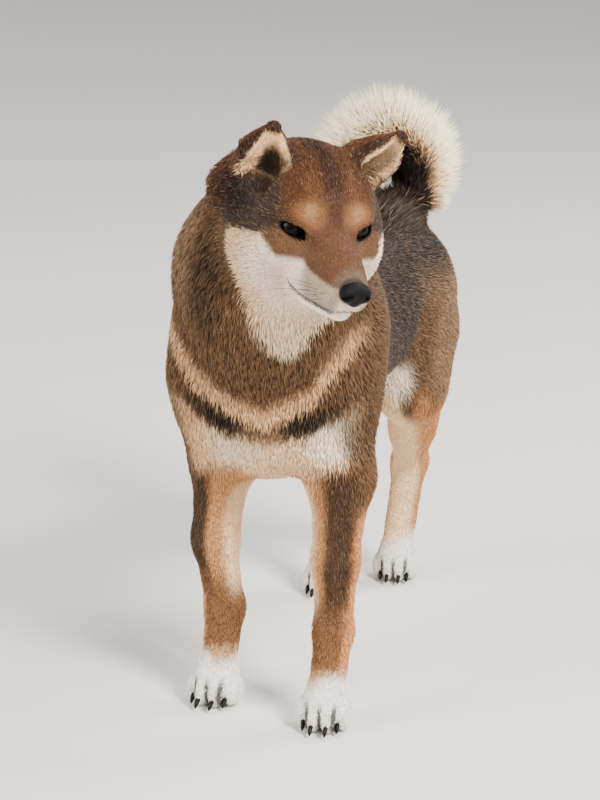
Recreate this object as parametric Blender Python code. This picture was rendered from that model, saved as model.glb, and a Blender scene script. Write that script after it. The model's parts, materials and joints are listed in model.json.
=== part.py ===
"""A shiba inu, life size, standing with its head turned to its left and its tail curled over the back.

The dog is one smooth form, the outside of its coat, described by rounded limbs and balls that melt
together. That form is turned into meshes, parted into named nodes by thin cuts, and given its eyes,
nose and claws, and the long hair of the tail as locks.

Metres, +Z up. The dog faces -Y and its left is +X. The floor is z = 0.
"""

import itertools
import math
import random

import bmesh
import bpy
import numpy as np
from mathutils import Matrix, Vector

# Driving sizes of the dog, coat included.
WITHERS = 0.392  # height of the back over the shoulders
CROUP = 0.374  # height of the back over the hips
CHEST_HALF = 0.083  # half of the width at the ribs
HIP_HALF = 0.066
GAP = 0.0003  # what touching nodes keep between them
CLOSE = 0.000003  # points nearer than this are one

# Where each foot stands: the middle of the paw, and the way it points.
FEET = {
    "fore_left": ((0.065, -0.194), math.radians(6)),
    "fore_right": ((-0.037, -0.172), math.radians(-4)),
    "hind_left": ((0.019, 0.208), math.radians(8)),
    "hind_right": ((-0.032, 0.138), math.radians(0)),
}
CHEST_X = -0.006  # the chest's middle
ELBOW_X, ELBOW_HALF = 0.006, 0.055  # the elbows' middle, and how far each is from it
PELVIS_X = 0.016  # the hips are swung a little to the dog's left

# The head: its middle, and how it is turned.
HEAD_AT = (0.036, -0.206, 0.434)
HEAD_YAW = math.radians(37)  # to the dog's left
HEAD_PITCH = math.radians(10)  # nose down
HEAD_ROLL = math.radians(4)  # left side lower
EYE_AT = (0.0265, -0.0475, 0.0025)  # in the head's own axes
EYE_R = 0.0102
MOUTH_R = 0.0016
CLAW_SUNK = 0.0012  # how deep a claw's root sits in its toe
CLAW_LINE = (  # how far ahead and down of its root a claw's line runs
    (0.0, 0.0),
    (CLAW_SUNK + 0.0036, 0.0004),
    (CLAW_SUNK + 0.0074, 0.0032),
    (CLAW_SUNK + 0.0094, 0.0066),
)
SLIT_AT = (0.0282, -0.0580, 0.0035)  # the opening between the lids
SLIT_R = (0.0116, 0.0090, 0.0050)
NOSE_AT = (0.0, -0.1285, -0.0195)

# Where the nodes are parted: planes as a point and a normal, and heights.
WAIST_Y = 0.045
LEG_TOP = 0.194
THIGH_TOP = 0.325
KNEE_TOP = 0.205
STIFLE_TOP = 0.132
FORE_PAW_TOP = 0.052
HIND_PAW_TOP = 0.048
THIGH_INNER = 0.034  # how far from the pelvis's middle each thigh's own node begins
SKIRT = 0.006  # how far a mesh goes on beyond a plane that it is then cut at

# Sizes of the meshes: the step that each is sampled at, and its share of triangles.
BODY_STEP, BODY_FACES = 0.0050, 2600
HEAD_STEP, HEAD_FACES = 0.0018, 2700
PAW_STEP, PAW_FACES = 0.0018, 280
NOSE_STEP, NOSE_FACES = 0.0009, 260

COAT = (0.075, 0.052, 0.036)
TAN = (0.45, 0.23, 0.10)
CREAM = (0.72, 0.60, 0.44)
BLACK = (0.012, 0.011, 0.011)
NODES = []


def turned(yaw=0.0, pitch=0.0, roll=0.0):
    """The rotation of a thing that faces -Y: yaw to its left, nose down, left side down."""
    about_z = Matrix.Rotation(yaw, 3, "Z")
    about_x = Matrix.Rotation(pitch, 3, "X")
    about_y = Matrix.Rotation(roll, 3, "Y")
    return np.array(about_z @ about_x @ about_y)


HEAD_TURN = turned(HEAD_YAW, HEAD_PITCH, HEAD_ROLL)


def in_head(point):
    """A point given in the head's own axes, in the dog's."""
    return HEAD_TURN @ np.asarray(point, float) + np.asarray(HEAD_AT)


class Form:
    """Shapes that melt into one another. Each says how far a point is outside it."""

    def __init__(self, turn=None, origin=(0.0, 0.0, 0.0)):
        self.shapes = []
        self.turn = np.eye(3) if turn is None else turn
        self.origin = np.asarray(origin, float)

    def place(self, point):
        return self.turn @ np.asarray(point, float) + self.origin

    def add(self, distance, middle, reach, melt, carve):
        self.shapes.append((distance, middle, reach, melt, carve))

    def ball(self, middle, radii, melt=0.02, tilt=None, carve=False):
        """A ball with three radii, along this form's axes or those of tilt."""
        middle = self.place(middle)
        radii = np.asarray(radii, float) * np.ones(3)
        turn = self.turn if tilt is None else self.turn @ tilt

        def distance(points):
            local = (points - middle) @ turn
            near = np.linalg.norm(local / radii, axis=1)
            steep = np.linalg.norm(local / radii**2, axis=1)
            return near * (near - 1) / np.maximum(steep, 1e-9)

        self.add(distance, middle, radii.max(), melt, carve)

    def limb(self, start, end, start_r, end_r, melt=0.02, wide=None, ratio=1.0, carve=False):
        """A rounded limb from start to end, ratio times as thick along the direction wide."""
        start = self.place(start)
        end = self.place(end)
        along = end - start
        if wide is not None:
            wide = self.turn @ (np.asarray(wide, float) / np.linalg.norm(wide))

        def distance(points):
            local = points - start
            share = np.clip(local @ along / (along @ along), 0, 1)
            off = local - share[:, None] * along
            if wide is not None:
                off = off + np.outer((off @ wide) * (1 / ratio - 1), wide)
            return np.linalg.norm(off, axis=1) - (start_r + share * (end_r - start_r))

        reach = np.linalg.norm(along) / 2 + max(start_r, end_r) * max(ratio, 1.0)
        self.add(distance, (start + end) / 2, reach, melt, carve)

    def __call__(self, points):
        """How far each point is outside the form. It holds near the surface."""
        far = 0.05
        found = np.full(len(points), far)
        for distance, middle, reach, melt, carve in self.shapes:
            near = ((points - middle) ** 2).sum(1) < (reach + melt + far / 2) ** 2
            here = found[near]
            shape = distance(points[near])
            if carve:
                here = -here
            overlap = np.maximum(melt - np.abs(here - shape), 0) / melt
            mixed = np.minimum(here, shape) - overlap**2 * melt / 4
            found[near] = -mixed if carve else mixed
        return found


def trunk(form):
    """Rib cage, breast, shoulders, loin and hips."""
    form.ball((CHEST_X, -0.085, 0.290), (CHEST_HALF - 0.004, 0.120, 0.096), 0.03)
    form.ball((CHEST_X, -0.150, 0.285), (0.074, 0.062, 0.088), 0.03)
    form.ball((CHEST_X, -0.070, WITHERS - 0.050), (0.050, 0.100, 0.050), 0.03)
    form.ball((0.004, 0.030, 0.300), (0.066, 0.120, 0.074), 0.03)
    form.ball((PELVIS_X, 0.125, CROUP - 0.066), (HIP_HALF - 0.004, 0.078, 0.066), 0.03)
    form.limb(tail_point(0.0), tail_point(0.30), tail_radius(0.0) + 0.004, tail_radius(0.2), 0.02)
    for side in (-1, 1):
        shoulder = (CHEST_X + side * 0.050, -0.120, 0.300)
        form.ball(shoulder, (0.036, 0.052, 0.075), 0.03, turned(pitch=math.radians(-15)))


def neck(form):
    """The thick neck with its ruff, from the shoulders up to the back of the head."""
    form.limb((CHEST_X, -0.120, 0.330), (0.016, -0.170, 0.420), 0.078, 0.062, 0.03)
    form.ball((-0.010, -0.165, 0.375), (0.074, 0.060, 0.070), 0.03)
    form.ball((0.012, -0.205, 0.350), (0.060, 0.045, 0.060), 0.03)


def fore_leg(form, side):
    """An upright foreleg, from the elbow to the wrist, and the paw's pastern."""
    (paw_x, paw_y), _ = FEET["fore_left" if side > 0 else "fore_right"]
    shoulder = (CHEST_X + side * 0.050, paw_y + 0.054, 0.270)
    elbow = (ELBOW_X + side * ELBOW_HALF, paw_y + 0.042, 0.205)
    mid = (ELBOW_X + side * (ELBOW_HALF + 0.001), paw_y + 0.030, 0.135)
    wrist = (paw_x, paw_y + 0.022, 0.078)
    pastern = (paw_x, paw_y + 0.009, 0.034)
    form.limb(shoulder, elbow, 0.038, 0.027, 0.025, wide=(0, 1, 0), ratio=1.25)
    form.limb(elbow, mid, 0.0265, 0.0190, 0.015, wide=(0, 1, 0), ratio=1.12)
    form.limb(mid, wrist, 0.0190, 0.0165, 0.012, wide=(0, 1, 0), ratio=1.08)
    form.limb(wrist, pastern, 0.0165, 0.0155, 0.010)


def hind_leg(form, side):
    """A hind leg: thigh, shank, hock and rear pastern."""
    (paw_x, paw_y), _ = FEET["hind_left" if side > 0 else "hind_right"]
    hip = (PELVIS_X + side * 0.028, 0.115, 0.300)
    knee = (PELVIS_X + side * 0.030, paw_y - 0.085, 0.215)
    hock = (paw_x + side * 0.001, paw_y + 0.036, 0.110)
    pastern = (paw_x, paw_y + 0.006, 0.036)
    ham = (PELVIS_X + side * 0.030, 0.5 * (hip[1] + paw_y - 0.04), 0.265)
    form.ball(ham, (0.030, 0.066, 0.080), 0.025)
    form.limb(hip, knee, 0.032, 0.025, 0.025, wide=(0, 1, 0), ratio=1.5)
    gaskin = (knee[0], paw_y - 0.062, 0.205)
    form.limb(gaskin, hock, 0.026, 0.0155, 0.020, wide=(0, 1, 0), ratio=1.55)
    seat = (PELVIS_X + side * 0.030, 0.158, 0.262)
    calf = (0.5 * (knee[0] + hock[0]), paw_y - 0.008, 0.160)
    form.limb(seat, calf, 0.030, 0.014, 0.025, wide=(0, 1, 0), ratio=1.2)
    form.limb(hock, pastern, 0.0165, 0.0150, 0.014, wide=(0, 1, 0), ratio=1.15)


def toe_places(leg):
    """Where each toe's knuckle is, from the inner to the outer."""
    (paw_x, paw_y), heading = FEET[leg]
    small = 1.0 if leg.startswith("fore") else 0.92
    turn = turned(yaw=heading)
    for sideways, ahead in ((-0.0165, 0.004), (-0.0062, 0.014), (0.0062, 0.014), (0.0165, 0.004)):
        yield turn, small, np.array([paw_x, paw_y, 0.0]) + turn @ (
            np.array([sideways, -ahead, 0.0]) * small
        )


def paw(form, leg):
    """A round paw with four toes, its sole a little below the floor until it is cut flat."""
    (paw_x, paw_y), _ = FEET[leg]
    form.ball((paw_x, paw_y + 0.004, 0.019), (0.0195, 0.024, 0.020), 0.010)
    for turn, small, (x, y, _) in toe_places(leg):
        back = turn @ np.array([0.0, 0.006, 0.0])
        radii = np.array([0.0078, 0.0150, 0.0135]) * small
        form.ball((x + back[0], y + back[1], 0.0125), radii, 0.003, turn)


def slit_turn(side):
    """The lids' opening faces outwards, and its outer corner is higher."""
    return HEAD_TURN @ turned(yaw=side * math.radians(35)) @ np.array(
        Matrix.Rotation(-side * math.radians(16), 3, "Y")
    )


def head(form):
    """Skull, brows, cheeks, muzzle, lips, chin and throat, in the head's own axes."""
    form.ball((0, 0.002, 0.006), (0.056, 0.056, 0.050), 0.02)
    form.ball((0, -0.030, 0.016), (0.042, 0.036, 0.032), 0.02)
    form.ball((0, 0.000, -0.045), (0.044, 0.046, 0.030), 0.02)
    for side in (-1, 1):
        form.ball((side * 0.036, -0.012, -0.022), (0.028, 0.040, 0.034), 0.02)
        form.ball((side * 0.022, -0.050, 0.016), (0.013, 0.012, 0.010), 0.012)
        form.ball((side * 0.030, -0.044, -0.014), (0.018, 0.022, 0.013), 0.014)
    form.limb((0, -0.045, -0.014), (0, -0.108, -0.0245), 0.0290, 0.0185, 0.014)
    form.limb((0, -0.050, 0.000), (0, -0.112, -0.0165), 0.0140, 0.0105, 0.012)
    for side in (-1, 1):
        back, front = (side * 0.014, -0.062, -0.032), (side * 0.0085, -0.110, -0.031)
        form.limb(back, front, 0.0150, 0.0115, 0.006)
    jaw, chin = (0, -0.040, -0.040), (0, -0.104, -0.0425)
    form.limb(jaw, chin, 0.0220, 0.0105, 0.006, wide=(1, 0, 0), ratio=1.15)


def ear(form, side):
    """A small thick ear: a broad flattened leaf with a cup carved into its front, and fur behind it."""
    base, tip, front, broad, _ = EARS[side]
    base, tip, front = (np.asarray(point, float) for point in (base, tip, front))
    front = front / np.linalg.norm(front)
    across = np.cross(tip - base, front)
    middle = base + 0.55 * (tip - base)
    form.limb(base, middle, 0.0185, 0.0140, 0.012, wide=across, ratio=broad)
    form.limb(middle, tip, 0.0140, 0.0060, 0.004, wide=across, ratio=broad)
    form.limb((side * 0.045, 0.008, 0.042), (side * 0.043, 0.042, 0.004), 0.0135, 0.0240, 0.014)
    inner_base = base + front * 0.0140
    inner_tip = base + 0.88 * (tip - base) + front * 0.0085
    form.limb(inner_base, inner_tip, 0.0140, 0.0050, 0.003, wide=across, ratio=broad - 0.08, carve=True)


# Each ear in the head's own axes: root, tip, the way its cup opens, how broad it is for its
# thickness, and the way across which it is cut from the skull.
EARS = {
    1: ((0.042, -0.001, 0.032), (0.0675, -0.008, 0.065), (0.15, -0.95, -0.20), 1.30, (0.85, 0.10, 0.50)),
    -1: ((-0.042, -0.004, 0.037), (-0.040, -0.011, 0.069), (-0.20, -0.93, -0.25), 1.15, (-0.75, -0.1, 0.65)),
}


def mouth_line(skull):
    """Points from the mouth's right corner round the front of the lips to its left corner."""
    right = [(-0.0290, -0.062, -0.0400), (-0.0270, -0.076, -0.0450), (-0.0215, -0.092, -0.0455),
             (-0.0140, -0.107, -0.0430), (-0.0050, -0.118, -0.0410)]
    left = [(-x, y, z) for x, y, z in reversed(right)]
    return [on_surface(skull, skull.place(point)) for point in smooth_curve(right + left, 15)]


def shiba():
    """The whole form, without eyes, claws and locks."""
    form = Form()
    trunk(form)
    neck(form)
    for side in (-1, 1):
        fore_leg(form, side)
        hind_leg(form, side)
    for leg in FEET:
        paw(form, leg)
    skull = Form(HEAD_TURN, HEAD_AT)
    head(skull)
    line = mouth_line(skull)
    for side in (-1, 1):
        ear(skull, side)
    form.shapes += skull.shapes
    return form, line


def samples(form, low, counts, step):
    """The form's value at each point of a grid. Far from the surface a coarse grid's value will do."""
    coarse = 4
    blocks = -(-counts // coarse)
    starts = np.indices(blocks).reshape(3, -1).T * coarse
    rough = form(low + step * (starts + (coarse - 1) / 2)).reshape(blocks)
    value = rough.repeat(coarse, 0).repeat(coarse, 1).repeat(coarse, 2)
    value = value[: counts[0], : counts[1], : counts[2]].copy()
    near = np.abs(value) < coarse * step
    value[near] = form(low + step * np.argwhere(near))
    return value


def surface(form, low, high, step):
    """Points and triangles of the form's surface inside a box, closed at the box's walls.

    Each cell of a grid is parted into six tetrahedra, all from its lowest corner to its highest, so
    the triangles that cross them always join into closed sheets.
    """
    counts = np.ceil((high - low) / step).astype(int) + 1
    value = samples(form, low, counts, step)
    value[[0, -1]] = value[:, [0, -1]] = value[:, :, [0, -1]] = step
    inside = value < 0

    cells = counts - 1
    corners = np.array([(i, j, k) for i in (0, 1) for j in (0, 1) for k in (0, 1)])
    full = np.zeros(cells, int)
    for i, j, k in corners:
        full += inside[i : i + cells[0], j : j + cells[1], k : k + cells[2]]
    crossed = np.argwhere((full > 0) & (full < 8))

    def number(place):
        return (place[..., 0] * counts[1] + place[..., 1]) * counts[2] + place[..., 2]

    flat = inside.reshape(-1)
    triangles = []
    for first, second in itertools.permutations(range(3), 2):
        path = np.zeros((4, 3), int)
        path[1, first] = 1
        path[2, [first, second]] = 1
        path[3] = 1
        tetra = number(crossed[:, None, :] + path[None])
        within = flat[tetra]
        for wanted in range(1, 15):
            signs = np.array([bool(wanted >> bit & 1) for bit in range(4)])
            here = tetra[(within == signs).all(1)]
            ins, outs = np.flatnonzero(signs), np.flatnonzero(~signs)
            if len(ins) == 2:
                (a, b), (c, d) = ins, outs
                turns = (((a, c), (a, d), (b, d)), ((a, c), (b, d), (b, c)))
            else:
                lone, rest = (ins[0], outs) if len(ins) == 1 else (outs[0], ins)
                turns = (tuple((lone, other) for other in rest),)
            for turn in turns:
                edges = np.stack([np.sort(here[:, list(pair)], axis=1) for pair in turn], 1)
                inner = np.repeat(here[:, ins[:1]], 1, axis=1)
                triangles.append(np.concatenate([edges.reshape(-1, 6), inner], 1))
    triangles = np.concatenate(triangles)
    edges = triangles[:, :6].reshape(-1, 2)
    keys, corner = np.unique(edges[:, 0] * counts.prod() + edges[:, 1], return_inverse=True)
    start, end = keys // counts.prod(), keys % counts.prod()
    share = value.reshape(-1)[start] / (value.reshape(-1)[start] - value.reshape(-1)[end])
    place = [np.stack(np.unravel_index(which, counts), 1).astype(float) for which in (start, end)]
    points = low + step * (place[0] + np.clip(share, 0.08, 0.92)[:, None] * (place[1] - place[0]))
    faces = corner.reshape(-1, 3)
    inner = low + step * np.stack(np.unravel_index(triangles[:, 6], counts), 1)
    a, b, c = (points[faces[:, i]] for i in range(3))
    wrong = (np.cross(b - a, c - a) * (a - inner)).sum(1) < 0
    faces[wrong] = faces[wrong][:, ::-1]
    return points, faces


def closed_everywhere(mesh):
    """Whether each edge has two faces and each point one fan of faces."""
    shape = bmesh.new()
    shape.from_mesh(mesh)
    good = all(part.is_manifold for parts in (shape.edges, shape.verts) for part in parts)
    shape.free()
    return good


def mesh_of(form, low, high, step, faces, bounds=()):
    """A triangle mesh of the form inside a box and behind each bound, thinned to about faces."""

    def bounded(points):
        value = form(points)
        for point, normal in bounds:
            value = np.maximum(value, (points - point) @ normal)
        return value

    points, triangles = surface(bounded, np.asarray(low, float), np.asarray(high, float), step)
    mesh = bpy.data.meshes.new("form")
    mesh.from_pydata(points.tolist(), [], triangles.tolist())
    thing = bpy.data.objects.new("form", mesh)
    bpy.context.scene.collection.objects.link(thing)
    smooth = thing.modifiers.new("smooth", "SMOOTH")
    smooth.factor, smooth.iterations = 0.3, 1
    thin = thing.modifiers.new("thin", "DECIMATE")
    thin.ratio = faces / len(triangles)
    thin.use_collapse_triangulate = True
    return largest(settled(thing))


def settled(thing, close=CLOSE):
    """The thing with its modifiers applied, and points nearer than close made one."""
    graph = bpy.context.evaluated_depsgraph_get()
    mesh = bpy.data.meshes.new_from_object(thing.evaluated_get(graph))
    thing.modifiers.clear()
    shape = bmesh.new()
    shape.from_mesh(mesh)
    if close:
        bmesh.ops.remove_doubles(shape, verts=shape.verts, dist=close)
        bmesh.ops.dissolve_degenerate(shape, edges=shape.edges, dist=close)
    shape.to_mesh(mesh)
    shape.free()
    thing.data = mesh
    return thing


def largest(thing):
    """Keeps only the largest closed surface of a thing."""
    shape = bmesh.new()
    shape.from_mesh(thing.data)
    islands = []
    unseen = set(shape.verts)
    while unseen:
        stack = [unseen.pop()]
        island = set(stack)
        while stack:
            for edge in stack.pop().link_edges:
                for vert in edge.verts:
                    if vert in unseen:
                        unseen.remove(vert)
                        island.add(vert)
                        stack.append(vert)
        islands.append(island)
    keep = max(islands, key=len)
    bmesh.ops.delete(shape, geom=[v for v in shape.verts if v not in keep], context="VERTS")
    shape.to_mesh(thing.data)
    shape.free()
    return thing


def copy_of(thing):
    made = thing.copy()
    made.data = thing.data.copy()
    bpy.context.scene.collection.objects.link(made)
    return made


def boolean(thing, cutter, operation="DIFFERENCE"):
    """Cuts thing by cutter, or keeps what both share. A cut that pinches is made again by MANIFOLD."""
    before = thing.data
    for solver in ("EXACT", "MANIFOLD"):
        thing.data = before.copy()
        cut = thing.modifiers.new("cut", "BOOLEAN")
        cut.operation, cut.object, cut.solver = operation, cutter, solver
        settled(thing)
        if closed_everywhere(thing.data):
            break
    return thing


def remove(thing):
    bpy.data.objects.remove(thing)


def solid_from(shape, name="solid"):
    """An object of a bmesh, its faces turned outwards."""
    bmesh.ops.recalc_face_normals(shape, faces=shape.faces)
    mesh = bpy.data.meshes.new(name)
    shape.to_mesh(mesh)
    shape.free()
    thing = bpy.data.objects.new(name, mesh)
    bpy.context.scene.collection.objects.link(thing)
    return thing


def half_space(point, normal, size=1.0):
    """A big block whose one face passes through point, on the side that normal points to."""
    shape = bmesh.new()
    bmesh.ops.create_cube(shape, size=size)
    turn = Vector(normal).to_track_quat("Z", "Y").to_matrix().to_4x4()
    shift = Matrix.Translation(Vector(point)) @ turn @ Matrix.Translation((0, 0, size / 2))
    bmesh.ops.transform(shape, matrix=shift, verts=shape.verts)
    return solid_from(shape)


def block(low, high):
    shape = bmesh.new()
    bmesh.ops.create_cube(shape, size=1.0)
    low, high = Vector(low), Vector(high)
    for vert in shape.verts:
        vert.co = Vector((low + high) / 2) + vert.co * (high - low)
    return solid_from(shape)


def keep_behind(thing, point, normal):
    """Takes away what lies beyond a plane, and half a gap more."""
    normal = Vector(normal).normalized()
    cutter = half_space(Vector(point) - normal * GAP / 2, normal)
    largest(boolean(thing, cutter))
    remove(cutter)
    return thing


def split(thing, point, normal):
    """Parts a thing at a plane, and gives (what lies behind it, what lies beyond it)."""
    beyond = copy_of(thing)
    return keep_behind(thing, point, normal), keep_behind(beyond, point, -np.asarray(normal, float))


def carve_out(thing, low, high):
    """Takes what lies in a box out of a thing, as a piece of its own."""
    piece = copy_of(thing)
    cutter = block(low, high)
    largest(boolean(piece, cutter, "INTERSECT"))
    grown = block(Vector(low) - Vector((GAP,) * 3), Vector(high) + Vector((GAP,) * 3))
    largest(boolean(thing, grown))
    remove(cutter)
    remove(grown)
    return piece


def ball_at(middle, radii, turn=np.eye(3), segments=12, rings=8):
    shape = bmesh.new()
    bmesh.ops.create_uvsphere(shape, u_segments=segments, v_segments=rings, radius=1.0)
    place = Matrix.Translation(Vector(middle)) @ Matrix(turn.tolist()).to_4x4()
    place = place @ Matrix.Diagonal((*radii, 1.0))
    bmesh.ops.transform(shape, matrix=place, verts=shape.verts)
    return solid_from(shape)


def material_of(thing, colour, roughness):
    material = bpy.data.materials.new(thing.name)
    material.use_nodes = True
    shader = material.node_tree.nodes["Principled BSDF"]
    shader.inputs["Base Color"].default_value = (*colour, 1.0)
    shader.inputs["Roughness"].default_value = roughness
    thing.data.materials.clear()
    thing.data.materials.append(material)


def named(thing, name, colour, roughness=0.8):
    thing.name = name
    thing.data.name = name
    material_of(thing, colour, roughness)
    NODES.append(thing)
    return thing


def smooth_curve(corners, count):
    """Points along a smooth curve through the corners."""
    corners = [np.asarray(corner, float) for corner in corners]
    ends = [2 * corners[0] - corners[1], *corners, 2 * corners[-1] - corners[-2]]
    made = []
    spans = len(corners) - 1
    for place in np.linspace(0, spans, count):
        span = min(int(place), spans - 1)
        t = place - span
        a, b, c, d = ends[span : span + 4]
        bend = 2 * a - 5 * b + 4 * c - d
        twist = 3 * b - a - 3 * c + d
        made.append(0.5 * (2 * b + (c - a) * t + bend * t**2 + twist * t**3))
    return np.array(made)


def tube(path, radii, sides=10, flat=1.0, wide=None):
    """A closed tube along a path, flat times as thick across the direction wide."""
    shape = bmesh.new()
    path = np.asarray(path)
    ways = np.gradient(path, axis=0)
    rings = []
    up = np.array(wide if wide is not None else (0.0, 0.3, 1.0))
    for point, way, radius in zip(path, ways, radii):
        way = way / np.linalg.norm(way)
        side = np.cross(way, up)
        side /= np.linalg.norm(side)
        over = np.cross(side, way)
        ring = []
        for step in range(sides):
            turn = 2 * math.pi * step / sides
            off = math.cos(turn) * over + math.sin(turn) * side * flat
            ring.append(shape.verts.new(point + radius * off))
        rings.append(ring)
    for lower, upper in zip(rings, rings[1:]):
        for step in range(sides):
            after = (step + 1) % sides
            shape.faces.new((lower[step], lower[after], upper[after], upper[step]))
    shape.faces.new(rings[0])
    shape.faces.new(rings[-1])
    bmesh.ops.triangulate(shape, faces=shape.faces)
    return solid_from(shape)


# The tail's bone line: out of the rump, up at the dog's left and over to its right.
TAIL = (
    (0.018, 0.155, 0.345),
    (0.027, 0.176, 0.372),
    (0.034, 0.180, 0.402),
    (0.026, 0.171, 0.430),
    (0.006, 0.157, 0.442),
    (-0.014, 0.141, 0.434),
    (-0.025, 0.124, 0.412),
)
TAIL_ROOT = 0.17  # share of the line that lies in the rump
TAIL_CUTS = (0.42, 0.70)
TAIL_LINE = 61
TAIL_ROWS, TAIL_ROUND = 12, 7  # rows of locks in a whole tail, and locks in a row
LOCK_THICK = 0.0020  # half of a lock's thickness at its root
LOCK_TAPER = np.array([1.0, 0.95, 0.70, 0.10])
CURL_MIDDLE = (0.006, 0.152, 0.408)


def tail_point(share):
    line = smooth_curve(TAIL, TAIL_LINE)
    place = share * (TAIL_LINE - 1)
    low = min(int(place), TAIL_LINE - 2)
    return line[low] + (place - low) * (line[low + 1] - line[low])


def tail_radius(share):
    """The tail's core. The long hair doubles it and more."""
    return 0.0170 - 0.0070 * share


def tail_way(share):
    return tail_point(share + 0.01) - tail_point(share - 0.01)


def tail_lengths():
    """The tail's cores, one object to each length, parted square to its line."""
    cuts = (TAIL_ROOT, *TAIL_CUTS, 1.0)
    for start, end in zip(cuts, cuts[1:]):
        shares = np.linspace(start - 0.04, min(end + 0.04, 1.0), 8)
        path = np.array([tail_point(share) for share in shares])
        core = tube(path, [tail_radius(share) for share in shares])
        keep_behind(core, tail_point(start), -tail_way(start))
        if end < 1.0:
            keep_behind(core, tail_point(end), tail_way(end))
        yield core, (start, end)


def claws(leg, form, paw_piece):
    """A claw to each toe, its root sunk in a socket of its own shape."""
    for number, (turn, small, place) in enumerate(toe_places(leg)):
        ahead = turn @ np.array([0.0, -1.0, 0.0])
        down = np.array([0.0, 0.0, -1.0])
        root = on_surface(form, place + ahead * 0.012 * small - down * 0.0105) - ahead * CLAW_SUNK
        path = np.array([root + ahead * forward + down * drop for forward, drop in CLAW_LINE])
        radii = np.array([0.0023, 0.0023, 0.0017, 0.0005])
        name = f"claw_{leg}_{number + 1}"
        named(tube(path, radii, sides=5, flat=0.8), name, BLACK, 0.35)
        path[0] -= ahead * GAP
        socket = tube(path, radii + GAP, sides=5, flat=0.85)
        boolean(paw_piece, socket)
        remove(socket)


def on_surface(form, point):
    """The place on the form's surface that is nearest to a point near it."""
    point = np.asarray(point, float)
    small = 1e-4
    for _ in range(8):
        value = form(point[None])[0]
        slope = np.array([(form((point + small * way)[None])[0] - value) / small for way in np.eye(3)])
        point = point - value * slope / max(slope @ slope, 1e-6)
    return point


HEAD_CUT = (in_head((0, 0.018, -0.060)), HEAD_TURN @ np.array([0, -0.50, 0.866]))
CHEST_CUT = ((CHEST_X, -0.135, 0.338), (0.05, -0.36, 0.93))


def nose_pad():
    """The bare nose with its nostrils and the groove between them."""
    pad = Form(HEAD_TURN, HEAD_AT)
    x, y, z = NOSE_AT
    pad.ball((x, y + 0.001, z + 0.002), (0.0105, 0.0070, 0.0070), 0.004)
    for side in (-1, 1):
        pad.ball((side * 0.0066, y + 0.0005, z - 0.0005), (0.0058, 0.0068, 0.0062), 0.004)
    pad.ball((x, y + 0.0015, z - 0.0055), (0.0050, 0.0055, 0.0050), 0.004)
    for side in (-1, 1):
        pad.ball((side * 0.0066, y - 0.0065, z - 0.0008), (0.0026, 0.0030, 0.0022), 0.001, carve=True)
        pad.ball((side * 0.0102, y - 0.0040, z - 0.0022), (0.0030, 0.0030, 0.0012), 0.001, carve=True)
    middle = in_head(NOSE_AT)
    return mesh_of(pad, middle - 0.018, middle + 0.018, NOSE_STEP, NOSE_FACES)


def make_head(form, mouth):
    """Head, ears, eyes and nose."""
    point, normal = HEAD_CUT
    normal = normal / np.linalg.norm(normal)
    middle = in_head((0, -0.035, 0.0))
    low, high = middle - (0.115, 0.115, 0.105), middle + (0.115, 0.115, 0.095)
    bound = (point - normal * SKIRT, -normal)
    skull = mesh_of(form, low, high, HEAD_STEP, HEAD_FACES, [bound])
    keep_behind(skull, point, -normal)
    for side, name in ((1, "left"), (-1, "right")):
        base, tip, _, _, normal = EARS[side]
        cut = in_head(np.array(base) + 0.4 * (np.array(tip) - base))
        skull, ear_piece = split(skull, cut, HEAD_TURN @ normal)
        named(ear_piece, f"ear_{name}", COAT)
    for side, name in ((1, "left"), (-1, "right")):
        at = in_head((side * EYE_AT[0], *EYE_AT[1:]))
        socket = ball_at(at, (EYE_R + GAP,) * 3)
        boolean(skull, socket)
        remove(socket)
        slit = ball_at(in_head((side * SLIT_AT[0], *SLIT_AT[1:])), SLIT_R, slit_turn(side), 20, 8)
        boolean(skull, slit)
        remove(slit)
        named(ball_at(at, (EYE_R,) * 3), f"eye_{name}", BLACK, 0.1)
    along = np.linspace(0, math.pi, len(mouth) + 2)[1:-1]
    groove = tube(np.array(mouth), MOUTH_R * (0.5 + 0.5 * np.sin(along)), sides=6)
    boolean(skull, groove)
    remove(groove)
    pad = nose_pad()
    cutter = copy_of(pad)
    middle = Vector(in_head(NOSE_AT))
    for vert in cutter.data.vertices:
        vert.co += (vert.co - middle).normalized() * GAP * 1.5
    boolean(skull, cutter)
    remove(cutter)
    named(pad, "nose", BLACK, 0.4)
    named(skull, "head", TAN)


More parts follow.
